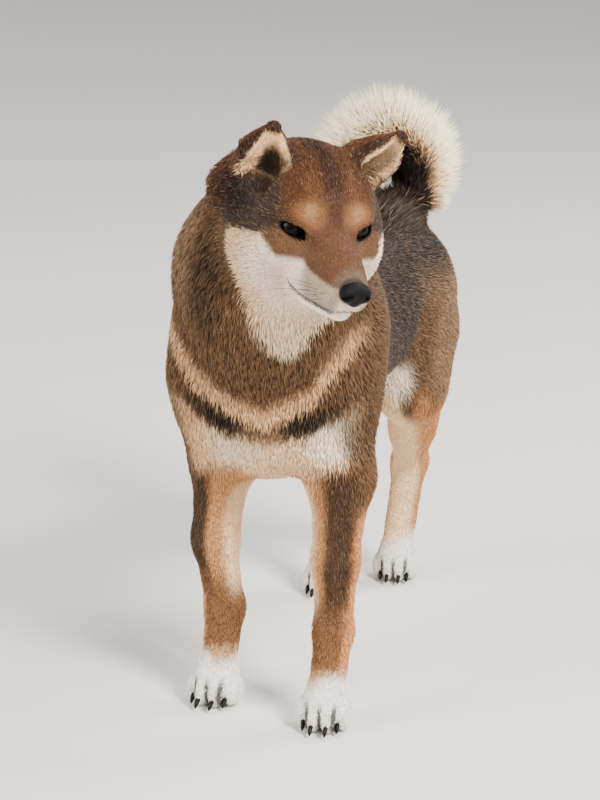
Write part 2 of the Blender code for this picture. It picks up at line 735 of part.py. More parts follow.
def make_body(form):
    """Neck, torso, hips, thighs and legs."""
    point, normal = HEAD_CUT
    normal = normal / np.linalg.norm(normal)
    low, high = (-0.13, -0.30, 0.03), (0.13, 0.26, 0.47)
    body = mesh_of(form, low, high, BODY_STEP, BODY_FACES, [(point + normal * SKIRT, normal)])
    keep_behind(body, point, normal)
    keep_behind(body, tail_point(TAIL_ROOT), tail_way(TAIL_ROOT))
    reach = 0.2
    for side, name in ((1, "left"), (-1, "right")):
        (paw_x, paw_y), _ = FEET[f"fore_{name}"]
        inner, outer = sorted((CHEST_X, CHEST_X + side * reach))
        leg = carve_out(body, (inner, -reach * 2, -0.1), (outer, 0.0, LEG_TOP))
        keep_behind(leg, (0, 0, FORE_PAW_TOP), (0, 0, -1))
        named(leg, f"fore_leg_{name}", COAT)
    for side, name in ((1, "left"), (-1, "right")):
        inner, outer = sorted((PELVIS_X - 0.006, PELVIS_X - 0.006 + side * reach))
        leg = carve_out(body, (inner, WAIST_Y, -0.1), (outer, reach * 2, KNEE_TOP))
        keep_behind(leg, (0, 0, HIND_PAW_TOP), (0, 0, -1))
        leg, lower = split(leg, (0, 0, STIFLE_TOP), (0, 0, -1))
        named(leg, f"hind_shank_{name}", COAT)
        named(lower, f"hind_pastern_{name}", TAN)
        inner, outer = sorted((PELVIS_X + side * THIGH_INNER, PELVIS_X + side * reach))
        low = (inner, WAIST_Y, KNEE_TOP + GAP)
        thigh = carve_out(body, low, (outer, reach * 2, THIGH_TOP))
        named(thigh, f"hind_thigh_{name}", COAT)
    body, neck_piece = split(body, *CHEST_CUT)
    named(neck_piece, "neck", COAT)
    torso, hips = split(body, (0, WAIST_Y, 0), (0, 1, 0))
    named(torso, "torso", COAT)
    named(hips, "hips", COAT)


def make_paws(form):
    for leg in FEET:
        (paw_x, paw_y), _ = FEET[leg]
        top = FORE_PAW_TOP if leg.startswith("fore") else HIND_PAW_TOP
        low = (paw_x - 0.036, paw_y - 0.045, -0.008)
        high = (paw_x + 0.036, paw_y + 0.055, top + 0.01)
        piece = mesh_of(form, low, high, PAW_STEP, PAW_FACES)
        keep_behind(piece, (0, 0, top), (0, 0, 1))
        keep_behind(piece, (0, 0, -GAP / 2), (0, 0, -1))
        claws(leg, form, piece)
        named(piece, f"paw_{leg}", CREAM)


def lock(root, way, lift, length, width, bend=0.6, twist=0.0):
    """A flat tapered lock. It leaves its root along way, bends over towards lift, and ends in a point.

    Untwisted, its flat side faces lift. A twist turns it about its own length.
    """
    root, way, lift = (np.asarray(value, float) for value in (root, way, lift))
    way = way / np.linalg.norm(way)
    lift = lift / np.linalg.norm(lift)
    path = [root]
    for step in range(3):
        course = way + lift * bend * step / 2
        path.append(path[-1] + course / np.linalg.norm(course) * length / 3)
    face = np.cross(np.cross(way, lift), way)
    face = math.cos(twist) * face + math.sin(twist) * np.cross(way, face)
    return tube(path, LOCK_THICK * LOCK_TAPER, sides=4, flat=width / LOCK_THICK / 2, wide=face)


def fuse(core, locks):
    """Joins a core and its locks into one closed body."""
    group = bpy.data.collections.new("locks")
    for piece in locks:
        group.objects.link(piece)
    before = core.data
    for solver, close in (("EXACT", CLOSE), ("MANIFOLD", CLOSE), ("MANIFOLD", 0.0)):
        core.data = before.copy()
        join = core.modifiers.new("join", "BOOLEAN")
        join.operation, join.operand_type, join.solver = "UNION", "COLLECTION", solver
        join.collection = group
        settled(core, close)
        largest(core)
        if closed_everywhere(core.data):
            break
    for piece in locks:
        remove(piece)
    bpy.data.collections.remove(group)
    return core


def tail_locks(start, end, draw):
    """Rows of locks round one length of the tail, longest on the outside of its curl."""
    rows = max(2, round((end - start) * TAIL_ROWS))
    for row in range(rows):
        share = start + (end - start) * (row + 0.5) / rows
        at, along = tail_point(share), tail_way(share)
        along = along / np.linalg.norm(along)
        outer = at - np.array(CURL_MIDDLE)
        outer -= along * (outer @ along)
        outer /= np.linalg.norm(outer)
        side = np.cross(along, outer)
        for number in range(TAIL_ROUND):
            turn = 2 * math.pi * (number + 0.5 * (row % 2)) / TAIL_ROUND + draw.uniform(-0.15, 0.15)
            away = math.cos(turn) * outer + math.sin(turn) * side
            outside = 0.5 + 0.5 * math.cos(turn)
            length = tail_radius(share) * 0.5 + 0.010 + 0.026 * outside**0.8
            length *= draw.uniform(0.88, 1.08)
            way = away + along * (0.25 + 0.5 * (1 - outside))
            twist = math.radians(50 if (row + number) % 2 else -50)
            root = at + away * tail_radius(share) * 0.5
            yield lock(root, way, along + 0.2 * away, length, 0.017, 0.5, twist)


def make_tail():
    draw = random.Random(7)
    for (core, (start, end)), name in zip(tail_lengths(), ("base", "middle", "tip")):
        fuse(core, list(tail_locks(start, end, draw)))
        keep_behind(core, tail_point(start), -tail_way(start))
        if end < 1.0:
            keep_behind(core, tail_point(end), tail_way(end))
        named(core, f"tail_{name}", CREAM)


def stand_at_origin():
    """Moves all nodes so that the middle of their box's underside is the origin."""
    corners = np.array([vert.co for thing in NODES for vert in thing.data.vertices])
    low, high = corners.min(0), corners.max(0)
    shift = Vector((-(low[0] + high[0]) / 2, -(low[1] + high[1]) / 2, 0.0))
    for thing in NODES:
        thing.data.transform(Matrix.Translation(shift))


def main():
    for thing in list(bpy.data.objects):
        bpy.data.objects.remove(thing)
    form, mouth = shiba()
    make_head(form, mouth)
    make_body(form)
    make_paws(form)
    make_tail()
    stand_at_origin()


main()
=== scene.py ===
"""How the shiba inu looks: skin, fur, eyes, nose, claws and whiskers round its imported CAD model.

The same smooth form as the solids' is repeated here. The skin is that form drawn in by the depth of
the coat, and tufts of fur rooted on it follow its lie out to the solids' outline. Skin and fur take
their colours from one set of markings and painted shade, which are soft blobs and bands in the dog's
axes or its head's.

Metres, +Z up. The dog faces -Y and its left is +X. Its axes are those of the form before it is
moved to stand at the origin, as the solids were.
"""

import itertools
import json
import math

import bmesh
import bpy
import numpy as np
from mathutils import Matrix, Vector
from mathutils.bvhtree import BVHTree
from mathutils.interpolate import poly_3d_calc

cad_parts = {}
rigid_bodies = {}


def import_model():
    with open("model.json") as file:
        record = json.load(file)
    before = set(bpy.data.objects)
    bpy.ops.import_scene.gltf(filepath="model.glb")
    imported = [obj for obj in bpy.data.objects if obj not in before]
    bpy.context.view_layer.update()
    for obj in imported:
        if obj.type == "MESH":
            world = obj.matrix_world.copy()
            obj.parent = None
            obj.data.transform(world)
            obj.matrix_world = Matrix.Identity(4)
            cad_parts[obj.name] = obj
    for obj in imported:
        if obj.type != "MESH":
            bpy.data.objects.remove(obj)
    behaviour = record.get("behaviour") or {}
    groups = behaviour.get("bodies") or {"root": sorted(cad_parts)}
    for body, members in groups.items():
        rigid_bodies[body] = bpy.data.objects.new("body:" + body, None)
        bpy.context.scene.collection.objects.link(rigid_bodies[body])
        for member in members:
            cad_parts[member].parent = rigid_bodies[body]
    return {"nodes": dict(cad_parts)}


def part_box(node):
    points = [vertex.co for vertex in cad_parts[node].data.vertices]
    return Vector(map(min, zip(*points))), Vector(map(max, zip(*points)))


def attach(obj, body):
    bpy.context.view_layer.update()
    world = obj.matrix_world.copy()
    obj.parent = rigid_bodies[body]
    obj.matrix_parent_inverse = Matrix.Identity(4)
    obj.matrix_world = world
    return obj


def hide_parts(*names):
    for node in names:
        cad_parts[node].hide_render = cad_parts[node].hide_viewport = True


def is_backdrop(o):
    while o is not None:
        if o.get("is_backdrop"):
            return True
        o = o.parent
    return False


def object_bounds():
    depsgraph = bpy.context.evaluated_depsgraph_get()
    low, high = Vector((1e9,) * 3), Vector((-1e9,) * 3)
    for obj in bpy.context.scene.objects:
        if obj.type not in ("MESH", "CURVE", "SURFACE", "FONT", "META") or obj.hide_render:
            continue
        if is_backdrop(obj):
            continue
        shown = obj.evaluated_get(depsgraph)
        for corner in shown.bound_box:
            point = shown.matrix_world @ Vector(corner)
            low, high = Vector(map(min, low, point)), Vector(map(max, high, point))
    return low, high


# Sizes of the dog, coat included, as in the solids.
WITHERS = 0.392  # height of the back over the shoulders
CROUP = 0.374  # height of the back over the hips
CHEST_HALF = 0.083  # half of the width at the ribs
HIP_HALF = 0.066
FEET = {  # each paw's middle on the floor, and how far it is turned
    "fore_left": ((0.065, -0.194), math.radians(6)),
    "fore_right": ((-0.037, -0.172), math.radians(-4)),
    "hind_left": ((0.019, 0.208), math.radians(8)),
    "hind_right": ((-0.032, 0.138), math.radians(0)),
}
TOES = ((-0.0165, 0.004), (-0.0062, 0.014), (0.0062, 0.014), (0.0165, 0.004))  # sideways and ahead
TOE_SEAM = 0.0114  # from the middle one to the others
HIND_TOE = 0.92  # a hind toe's size against a fore one's
CHEST_X = -0.006  # the chest's middle
ELBOW_X, ELBOW_HALF = 0.006, 0.055  # the elbows' middle, and how far each is from it
PELVIS_X = 0.016  # the hips are swung a little to the dog's left
HEAD_AT = (0.036, -0.206, 0.434)
HEAD_YAW = math.radians(37)  # to the dog's left
HEAD_PITCH = math.radians(10)  # nose down
HEAD_ROLL = math.radians(4)  # left side lower
EYE_AT = (0.0265, -0.0475, 0.0025)  # in the head's own axes
EYE_R = 0.0102
SLIT_AT = (0.0282, -0.0580, 0.0035)  # the opening between the lids
NOSE_AT = (0.0, -0.1285, -0.0195)
# Each ear's base, tip, the way its cup faces, and how many times as broad as thick it is.
EARS = {
    1: ((0.0420, -0.001, 0.032), (0.0675, -0.008, 0.0650), (0.15, -0.95, -0.20), 1.30),
    -1: ((-0.0420, -0.004, 0.037), (-0.0400, -0.011, 0.0690), (-0.20, -0.93, -0.25), 1.15),
}
# The tail's middle line, from the rump round the curl.
TAIL = (
    (0.018, 0.155, 0.345),
    (0.027, 0.176, 0.372),
    (0.034, 0.180, 0.402),
    (0.026, 0.171, 0.430),
    (0.006, 0.157, 0.442),
    (-0.014, 0.141, 0.434),
    (-0.025, 0.124, 0.412),
)
EAR_REACH = 0.028  # all of an ear is nearer than this to its middle line
TAIL_ROOT = 0.17  # share of the line that lies in the rump
TAIL_LINE = 61  # points that the line is worked out at
CURL_MIDDLE = np.array((0.006, 0.152, 0.408))

# Finer than in the solids: the mouth's groove, the lids' opening, and the claws, whose line runs this
# far ahead and down of their roots.
MOUTH_R = 0.0014
SLIT_R = (0.0116, 0.0090, 0.0045)
CLAW_LINE = ((0.0, 0.0), (0.0038, 0.0012), (0.0064, 0.0040), (0.0076, 0.0064))
CLAW_RADII = (0.0023, 0.0023, 0.0018, 0.0006)

# Steps of the grids that skin and nose are sampled on, and the share of their triangles that is kept.
BODY_STEP, BODY_KEPT = 0.0042, 0.8
HEAD_STEP, HEAD_KEPT = 0.0017, 0.7
PAW_STEP, PAW_KEPT = 0.0016, 0.6
NOSE_STEP, NOSE_KEPT = 0.0007, 0.9

# Boxes that hold the skin's parts. The head's is given round its middle, and a paw's round its own.
HEAD_BOX = ((-0.140, -0.115, -0.105), (0.115, 0.175, 0.095))
BODY_BOX = ((-0.13, -0.30, 0.045), (0.13, 0.26, 0.47))
PAW_BOX = ((-0.036, -0.045, 0.0012), (0.036, 0.055, 0.052))

# Where the camera stands, and how it is turned, from the photo.
CAMERA_AT = (0.610, -2.133, 0.80)
CAMERA_YAW = math.radians(16.5)
CAMERA_PITCH = math.radians(14.5)
CAMERA_ROLL = math.radians(2.0)
CAMERA_LENS, CAMERA_SENSOR = 117, 36

# Soft lights: where each stands, how broad it is, its power and its colour.
LIGHTS = {
    "key": ((2.0, -1.3, 2.3), 0.9, 225, (1.0, 0.96, 0.90)),
    "fill": ((-1.8, -2.0, 1.6), 1.4, 95, (1.0, 0.98, 0.95)),
    "rim": ((1.4, 1.9, 2.4), 1.0, 80, (1.0, 1.0, 1.0)),
}
LIT = (0.0, 0.0, 0.25)  # the point that the lights face
WORLD_STRENGTH = 0.80
FLOOR_REACH = 40

TUFTS = 134000
MOST_TUFTS = 19000  # in one piece
TUFT_ROOT = 0.0008  # how deep in the skin a tuft starts
TAIL_HAIRS = 14000
SALT, SALT_ODDS = 0.60, 0.35  # how far pale tips among dark fur go towards fawn, and how many do
# No tuft grows nearer than this to the floor, the mouth, the nose's middle, the lids and the eyeballs.
FLOOR_BARE, MOUTH_BARE, NOSE_BARE, LID_BARE, EYE_BARE = 0.0025, 0.0019, 0.0125, 0.0012, 0.0006
BAKE_PATCH = 0.003  # how far across each tuft's patch of the bake map is
FLOOR_GAP = 0.0006  # hair and claws stay this far above the floor

draw = np.random.default_rng(11)

# Length, width and standing-out of the tufts on each part of the dog, and how densely they grow.
TUFT_SIZES = {
    "back": (0.0095, 0.00100, 0.26, 1.0),
    "neck": (0.0100, 0.00092, 0.34, 1.2),
    "croup": (0.036, 0.00120, 0.95, 2.6),
    "leg": (0.0056, 0.00080, 0.16, 1.45),
    "paw": (0.0040, 0.00070, 0.12, 2.3),
    "face": (0.0050, 0.00062, 0.22, 2.5),
    "cheek": (0.0080, 0.00068, 0.30, 2.2),
    "muzzle": (0.0028, 0.00050, 0.13, 4.2),
    "ear": (0.0038, 0.00055, 0.14, 3.2),
}


def turned(yaw=0.0, pitch=0.0, roll=0.0):
    """The rotation of a thing that faces -Y: yaw to its left, nose down, left side down."""
    about_z = Matrix.Rotation(yaw, 3, "Z")
    about_x = Matrix.Rotation(pitch, 3, "X")
    about_y = Matrix.Rotation(roll, 3, "Y")
    return np.array(about_z @ about_x @ about_y)


HEAD_TURN = turned(HEAD_YAW, HEAD_PITCH, HEAD_ROLL)


def in_head(point):
    """A point given in the head's own axes, in the dog's."""
    return HEAD_TURN @ np.asarray(point, float) + np.asarray(HEAD_AT)


def to_head(points):
    """Points given in the dog's axes, in the head's."""
    return (points - np.asarray(HEAD_AT)) @ HEAD_TURN


def mirrored(point, side):
    """A point given for the dog's left, on its left or on its right."""
    return (side * point[0], *point[1:])


def unit(vectors):
    vectors = np.asarray(vectors, float)
    return vectors / np.maximum(np.linalg.norm(vectors, axis=-1, keepdims=True), 1e-9)


def ramp(low, high, value):
    """0 at low, 1 at high, and a soft step between. Low may be the larger."""
    share = np.clip((value - low) / (high - low), 0, 1)
    return share * share * (3 - 2 * share)


def between(value, start, full, last, end):
    """Rises from start to full, and falls from last to end."""
    return ramp(start, full, value) * ramp(end, last, value)


def lengths(rows):
    return np.linalg.norm(rows, axis=1)


def distance_to(points, place):
    return lengths(points - np.asarray(place))


def blob(points, middle, radii, soft=0.35):
    """1 inside a ball with three radii, fading to 0 outside it."""
    away = lengths((points - np.asarray(middle)) / np.asarray(radii))
    return ramp(1 + soft, 1 - soft, away)


class Form:
    """Shapes that melt into one another. Each says how far a point is outside it."""

    def __init__(self, turn=None, origin=(0.0, 0.0, 0.0)):
        self.shapes = []
        self.turn = np.eye(3) if turn is None else turn
        self.origin = np.asarray(origin, float)

    def place(self, point):
        return self.turn @ np.asarray(point, float) + self.origin

    def ball(self, middle, radii, melt, tilt=None, carve=False):
        """A ball with three radii, along this form's axes or those of tilt."""
        middle = self.place(middle)
        radii = np.asarray(radii, float) * np.ones(3)
        turn = self.turn if tilt is None else self.turn @ tilt

        def distance(points):
            local = (points - middle) @ turn
            near = lengths(local / radii)
            return near * (near - 1) / np.maximum(lengths(local / radii**2), 1e-9)

        self.shapes.append((distance, middle, radii.max(), melt, carve))

    def limb(self, start, end, start_r, end_r, melt, wide=None, ratio=1.0, carve=False):
        """A rounded limb from start to end, ratio times as thick along the direction wide."""
        start = self.place(start)
        end = self.place(end)
        along = end - start
        if wide is not None:
            wide = self.turn @ (np.asarray(wide, float) / np.linalg.norm(wide))

        def distance(points):
            local = points - start
            share = np.clip(local @ along / (along @ along), 0, 1)
            off = local - share[:, None] * along
            if wide is not None:
                off = off + np.outer((off @ wide) * (1 / ratio - 1), wide)
            return lengths(off) - (start_r + share * (end_r - start_r))

        reach = np.linalg.norm(along) / 2 + max(start_r, end_r) * max(ratio, 1.0)
        self.shapes.append((distance, (start + end) / 2, reach, melt, carve))

    def __call__(self, points, found=None):
        """How far each point is outside the form, or outside it and what was found before."""
        far = 0.05
        if found is None:
            found = np.full(len(points), far)
        for distance, middle, reach, melt, carve in self.shapes:
            near = ((points - middle) ** 2).sum(1) < (reach + melt + far / 2) ** 2
            here = found[near]
            shape = distance(points[near])
            if carve:
                here = -here
            overlap = np.maximum(melt - np.abs(here - shape), 0) / melt
            mixed = np.minimum(here, shape) - overlap**2 * melt / 4
            found[near] = -mixed if carve else mixed
        return found


def trunk(form):
    """Rib cage, breast, shoulders, loin and hips."""
    form.ball((CHEST_X, -0.085, 0.290), (CHEST_HALF - 0.004, 0.120, 0.096), 0.03)
    form.ball((CHEST_X, -0.150, 0.285), (0.074, 0.062, 0.088), 0.03)
    form.ball((CHEST_X, -0.070, WITHERS - 0.050), (0.050, 0.100, 0.050), 0.03)
    form.ball((0.004, 0.030, 0.300), (0.066, 0.120, 0.074), 0.03)
    form.ball((PELVIS_X, 0.125, CROUP - 0.066), (HIP_HALF - 0.004, 0.078, 0.066), 0.03)
    form.limb(tail_point(0.0), tail_point(0.30), tail_radius(0.0) + 0.004, tail_radius(0.2), 0.02)
    for side in (-1, 1):
        shoulder = (CHEST_X + side * 0.050, -0.120, 0.300)
        form.ball(shoulder, (0.036, 0.052, 0.075), 0.03, turned(pitch=math.radians(-15)))


def neck(form):
    """The thick neck with its ruff, from the shoulders up to the back of the head."""
    form.limb((CHEST_X, -0.120, 0.330), (0.016, -0.170, 0.420), 0.078, 0.062, 0.03)
    form.ball((-0.010, -0.165, 0.375), (0.074, 0.060, 0.070), 0.03)
    form.ball((0.012, -0.205, 0.350), (0.060, 0.045, 0.060), 0.03)


def fore_leg(form, side):
    """An upright foreleg, from the shoulder down to the pastern."""
    (paw_x, paw_y), _ = FEET["fore_left" if side > 0 else "fore_right"]
    shoulder = (CHEST_X + side * 0.050, paw_y + 0.054, 0.270)
    elbow = (ELBOW_X + side * ELBOW_HALF, paw_y + 0.042, 0.205)
    mid = (ELBOW_X + side * (ELBOW_HALF + 0.001), paw_y + 0.030, 0.135)
    wrist = (paw_x, paw_y + 0.022, 0.078)
    pastern = (paw_x, paw_y + 0.009, 0.034)
    form.limb(shoulder, elbow, 0.038, 0.027, 0.025, wide=(0, 1, 0), ratio=1.25)
    form.limb(elbow, mid, 0.0265, 0.0190, 0.015, wide=(0, 1, 0), ratio=1.12)
    form.limb(mid, wrist, 0.0190, 0.0165, 0.012, wide=(0, 1, 0), ratio=1.08)
    form.limb(wrist, pastern, 0.0165, 0.0155, 0.010)


def hind_leg(form, side):
    """A hind leg: thigh, shank, hock and rear pastern."""
    (paw_x, paw_y), _ = FEET["hind_left" if side > 0 else "hind_right"]
    hip = (PELVIS_X + side * 0.028, 0.115, 0.300)
    knee = (PELVIS_X + side * 0.030, paw_y - 0.085, 0.215)
    hock = (paw_x + side * 0.001, paw_y + 0.036, 0.110)
    pastern = (paw_x, paw_y + 0.006, 0.036)
    ham = (PELVIS_X + side * 0.030, 0.5 * (hip[1] + paw_y - 0.04), 0.265)
    form.ball(ham, (0.030, 0.066, 0.080), 0.025)
    form.limb(hip, knee, 0.032, 0.025, 0.025, wide=(0, 1, 0), ratio=1.5)
    gaskin = (knee[0], paw_y - 0.062, 0.205)
    form.limb(gaskin, hock, 0.026, 0.0155, 0.020, wide=(0, 1, 0), ratio=1.55)
    seat = (PELVIS_X + side * 0.030, 0.158, 0.262)
    calf = (0.5 * (knee[0] + hock[0]), paw_y - 0.008, 0.160)
    form.limb(seat, calf, 0.030, 0.014, 0.025, wide=(0, 1, 0), ratio=1.2)
    form.limb(hock, pastern, 0.0165, 0.0150, 0.014, wide=(0, 1, 0), ratio=1.15)


def toe_places(leg):
    """How each toe is turned, its size, and where its knuckle is, from the dog's right to its left."""
    (paw_x, paw_y), heading = FEET[leg]
    small = 1.0 if leg.startswith("fore") else HIND_TOE
    turn = turned(yaw=heading)
    for sideways, ahead in TOES:
        off = turn @ (np.array([sideways, -ahead, 0.0]) * small)
        yield turn, small, np.array([paw_x, paw_y, 0.0]) + off


def paw(form, leg):
    """A round paw with four toes, its sole a little below the floor until it is cut flat."""
    (paw_x, paw_y), _ = FEET[leg]
    form.ball((paw_x, paw_y + 0.004, 0.019), (0.0195, 0.024, 0.020), 0.010)
    for turn, small, (x, y, _) in toe_places(leg):
        back = turn @ np.array([0.0, 0.006, 0.0])
        radii = np.array([0.0078, 0.0150, 0.0135]) * small
        form.ball((x + back[0], y + back[1], 0.0125), radii, 0.003, turn)


def slit_turn(side):
    """The lids' opening faces outwards, and its outer corner is higher."""
    return turned(yaw=side * math.radians(35)) @ turned(roll=-side * math.radians(16))


def from_slit(local, side, grown=0.0):
    """How far each point is from the middle of the lids' opening: 1 at its edge, or at a grown one's."""
    off = (local - mirrored(SLIT_AT, side)) @ slit_turn(side)
    return lengths(off / (np.array(SLIT_R) + grown))


def head(form):
    """Skull, brows, cheeks, muzzle, lips, chin and throat, in the head's own axes."""
    form.ball((0, 0.002, 0.006), (0.056, 0.056, 0.050), 0.02)
    form.ball((0, -0.030, 0.016), (0.042, 0.036, 0.032), 0.02)
    form.ball((0, 0.000, -0.045), (0.044, 0.046, 0.030), 0.02)
    for side in (-1, 1):
        form.ball((side * 0.036, -0.012, -0.022), (0.028, 0.040, 0.034), 0.02)
        form.ball((side * 0.022, -0.050, 0.016), (0.013, 0.012, 0.010), 0.012)
        form.ball((side * 0.030, -0.044, -0.014), (0.018, 0.022, 0.013), 0.014)
    form.limb((0, -0.045, -0.014), (0, -0.108, -0.0245), 0.0290, 0.0185, 0.014)
    form.limb((0, -0.050, 0.000), (0, -0.112, -0.0165), 0.0140, 0.0105, 0.012)
    for side in (-1, 1):
        back, front = (side * 0.014, -0.062, -0.032), (side * 0.0085, -0.110, -0.031)
        form.limb(back, front, 0.0150, 0.0115, 0.006)
    jaw, chin = (0, -0.040, -0.040), (0, -0.104, -0.0425)
    form.limb(jaw, chin, 0.0220, 0.0105, 0.006, wide=(1, 0, 0), ratio=1.15)


def ear(form, side):
    """A small thick ear: a broad flattened leaf with a cup carved into its front, and fur behind it."""
    base, tip, front = np.array(EARS[side][:3])
    broad = EARS[side][3]
    front = front / np.linalg.norm(front)
    across = np.cross(tip - base, front)
    middle = base + 0.55 * (tip - base)
    form.limb(base, middle, 0.0185, 0.0140, 0.012, wide=across, ratio=broad)
    form.limb(middle, tip, 0.0140, 0.0060, 0.004, wide=across, ratio=broad)
    form.limb((side * 0.045, 0.008, 0.042), (side * 0.043, 0.042, 0.004), 0.0135, 0.0240, 0.014)
    inner_base = base + front * 0.0140
    inner_tip = base + 0.88 * (tip - base) + front * 0.0085
    form.limb(inner_base, inner_tip, 0.0140, 0.0050, 0.003, wide=across, ratio=broad - 0.08, carve=True)


def smooth_curve(corners, count):
    """Points along a smooth curve through the corners."""
    corners = [np.asarray(corner, float) for corner in corners]
    ends = [2 * corners[0] - corners[1], *corners, 2 * corners[-1] - corners[-2]]
    made = []
    spans = len(corners) - 1
    for place in np.linspace(0, spans, count):
        span = min(int(place), spans - 1)
        t = place - span
        a, b, c, d = ends[span : span + 4]
        bend = 2 * a - 5 * b + 4 * c - d
        twist = 3 * b - a - 3 * c + d
        made.append(0.5 * (2 * b + (c - a) * t + bend * t**2 + twist * t**3))
    return np.array(made)


def gap_to(points, line):
    """How far each point is from a smooth curve along the line."""
    return np.min([distance_to(points, place) for place in smooth_curve(line, 80)], axis=0)


def tail_point(share):
    line = smooth_curve(TAIL, TAIL_LINE)
    place = share * (TAIL_LINE - 1)
    low = min(int(place), TAIL_LINE - 2)
    return line[low] + (place - low) * (line[low + 1] - line[low])


def tail_radius(share):
    """The tail's core. The long hair doubles it and more."""
    return 0.0170 - 0.0070 * share


def on_surface(form, point):
    """The place on the form's surface that is nearest to a point near it."""
    point = np.asarray(point, float)
    small = 1e-4
    for _ in range(8):
        value = form(point[None])[0]
        slope = np.array([(form((point + small * way)[None])[0] - value) / small for way in np.eye(3)])
        point = point - value * slope / max(slope @ slope, 1e-6)
    return point


def mouth_line():
    """Points from the mouth's right corner round the front of the lips to its left corner."""
    skull = Form(HEAD_TURN, HEAD_AT)
    head(skull)
    right = [(-0.0290, -0.062, -0.0400), (-0.0270, -0.076, -0.0450), (-0.0215, -0.092, -0.0455),
             (-0.0140, -0.107, -0.0430), (-0.0050, -0.118, -0.0410)]
    left = [(-x, y, z) for x, y, z in reversed(right)]
    return [on_surface(skull, skull.place(point)) for point in smooth_curve(right + left, 19)]


def shiba():
    """The outside of the coat, without eyes, nose, claws and the tail's long hair."""
    form = Form()
    trunk(form)
    neck(form)
    for side in (-1, 1):
        fore_leg(form, side)
        hind_leg(form, side)
    for leg in FEET:
        paw(form, leg)
    skull = Form(HEAD_TURN, HEAD_AT)
    head(skull)
    for side in (-1, 1):
        ear(skull, side)
    form.shapes += skull.shapes
    return form


def along_ear(local, side):
    """How far up an ear each point is, 1 at its tip, and its way off the ear's middle line."""
    base, tip = np.array(EARS[side][:2])
    along = tip - base
    share = (local - base) @ along / (along @ along)
    return share, local - base - np.clip(share, 0, 1)[:, None] * along


def ear_share(points):
    """How surely each point belongs to an ear, from its root to its tip."""
    local = to_head(points)
    found = np.zeros(len(points))
    for side in EARS:
        share, off = along_ear(local, side)
        found = np.maximum(found, ramp(0.0, 0.35, share) * (lengths(off) < EAR_REACH))
    return found


def coat_depth(points):
    """How deep the coat is at each point."""
    local = to_head(points)
    depth = 0.0032 + 0.0010 * blob(points, (-0.005, -0.170, 0.360), (0.10, 0.09, 0.07))
    depth += (0.0015 - depth) * ramp(0.235, 0.165, points[:, 2])
    depth += (0.0009 - depth) * ramp(0.075, 0.040, points[:, 2])
    in_skull = blob(local, (0, -0.040, -0.005), (0.075, 0.075, 0.065), 0.2)
    cheek = ramp(0.030, 0.055, np.abs(local[:, 0])) * ramp(0.005, -0.020, local[:, 2])
    face = 0.0015 + 0.0016 * cheek
    face += (0.0007 - face) * ramp(-0.050, -0.080, local[:, 1])
    depth += (face - depth) * in_skull
    depth += (0.0006 - depth) * ear_share(points)
    return depth


class Skin:
    """The form drawn in by the coat's depth, with lids round the eyes and the mouth's line."""

    def __init__(self, form, mouth):
        self.form = form
        self.folds = Form(HEAD_TURN, HEAD_AT)
        for side in (-1, 1):
            eye = mirrored(EYE_AT, side)
            self.folds.ball(eye, EYE_R + 0.0017, 0.003)
            self.folds.ball(mirrored(SLIT_AT, side), SLIT_R, 0.0008, slit_turn(side), carve=True)
            self.folds.ball(eye, EYE_R + 0.0003, 0.0004, carve=True)
        drawn = [to_head(point) - np.array([0, 0, 0.0004]) for point in mouth]
        for start, end in zip(drawn, drawn[1:]):
            self.folds.limb(start, end, MOUTH_R, MOUTH_R, 0.0010, carve=True)

    def __call__(self, points):
        return self.folds(points, self.form(points) + coat_depth(points))


def samples(form, low, counts, step):
    """The form's value at each point of a grid. Far from the surface a coarse grid's value will do."""
    coarse = 4
    blocks = -(-counts // coarse)
    starts = np.indices(blocks).reshape(3, -1).T * coarse
    rough = form(low + step * (starts + (coarse - 1) / 2)).reshape(blocks)
    value = rough.repeat(coarse, 0).repeat(coarse, 1).repeat(coarse, 2)
    value = value[: counts[0], : counts[1], : counts[2]].copy()
    near = np.abs(value) < coarse * step
    value[near] = form(low + step * np.argwhere(near))
    return value


def crossings(inside, counts):
    """Triangles across the cells that a surface passes through.

    Each cell is parted into six tetrahedra, all from its lowest corner to its highest, so the
    triangles that cross them always join into closed sheets. A triangle's row holds the two grid
    points of each of the three edges that it cuts, and one grid point that is inside.
    """
    cells = counts - 1
    full = np.zeros(cells, int)
    for i, j, k in itertools.product((0, 1), repeat=3):
        full += inside[i : i + cells[0], j : j + cells[1], k : k + cells[2]]
    crossed = np.argwhere((full > 0) & (full < 8))
    flat = inside.reshape(-1)
    triangles = []
    for first, second in itertools.permutations(range(3), 2):
        path = np.zeros((4, 3), int)
        path[1, first] = 1
        path[2, [first, second]] = 1
        path[3] = 1
        place = crossed[:, None, :] + path[None]
        tetra = (place[..., 0] * counts[1] + place[..., 1]) * counts[2] + place[..., 2]
        within = flat[tetra]
        for wanted in range(1, 15):
            signs = np.array([bool(wanted >> bit & 1) for bit in range(4)])
            here = tetra[(within == signs).all(1)]
            ins, outs = np.flatnonzero(signs), np.flatnonzero(~signs)
            if len(ins) == 2:
                (a, b), (c, d) = ins, outs
                turns = (((a, c), (a, d), (b, d)), ((a, c), (b, d), (b, c)))
            else:
                lone, rest = (ins[0], outs) if len(ins) == 1 else (outs[0], ins)
                turns = (tuple((lone, other) for other in rest),)
            for turn in turns:
                edges = np.stack([np.sort(here[:, list(pair)], axis=1) for pair in turn], 1)
                triangles.append(np.concatenate([edges.reshape(-1, 6), here[:, ins[:1]]], 1))
    return np.concatenate(triangles)


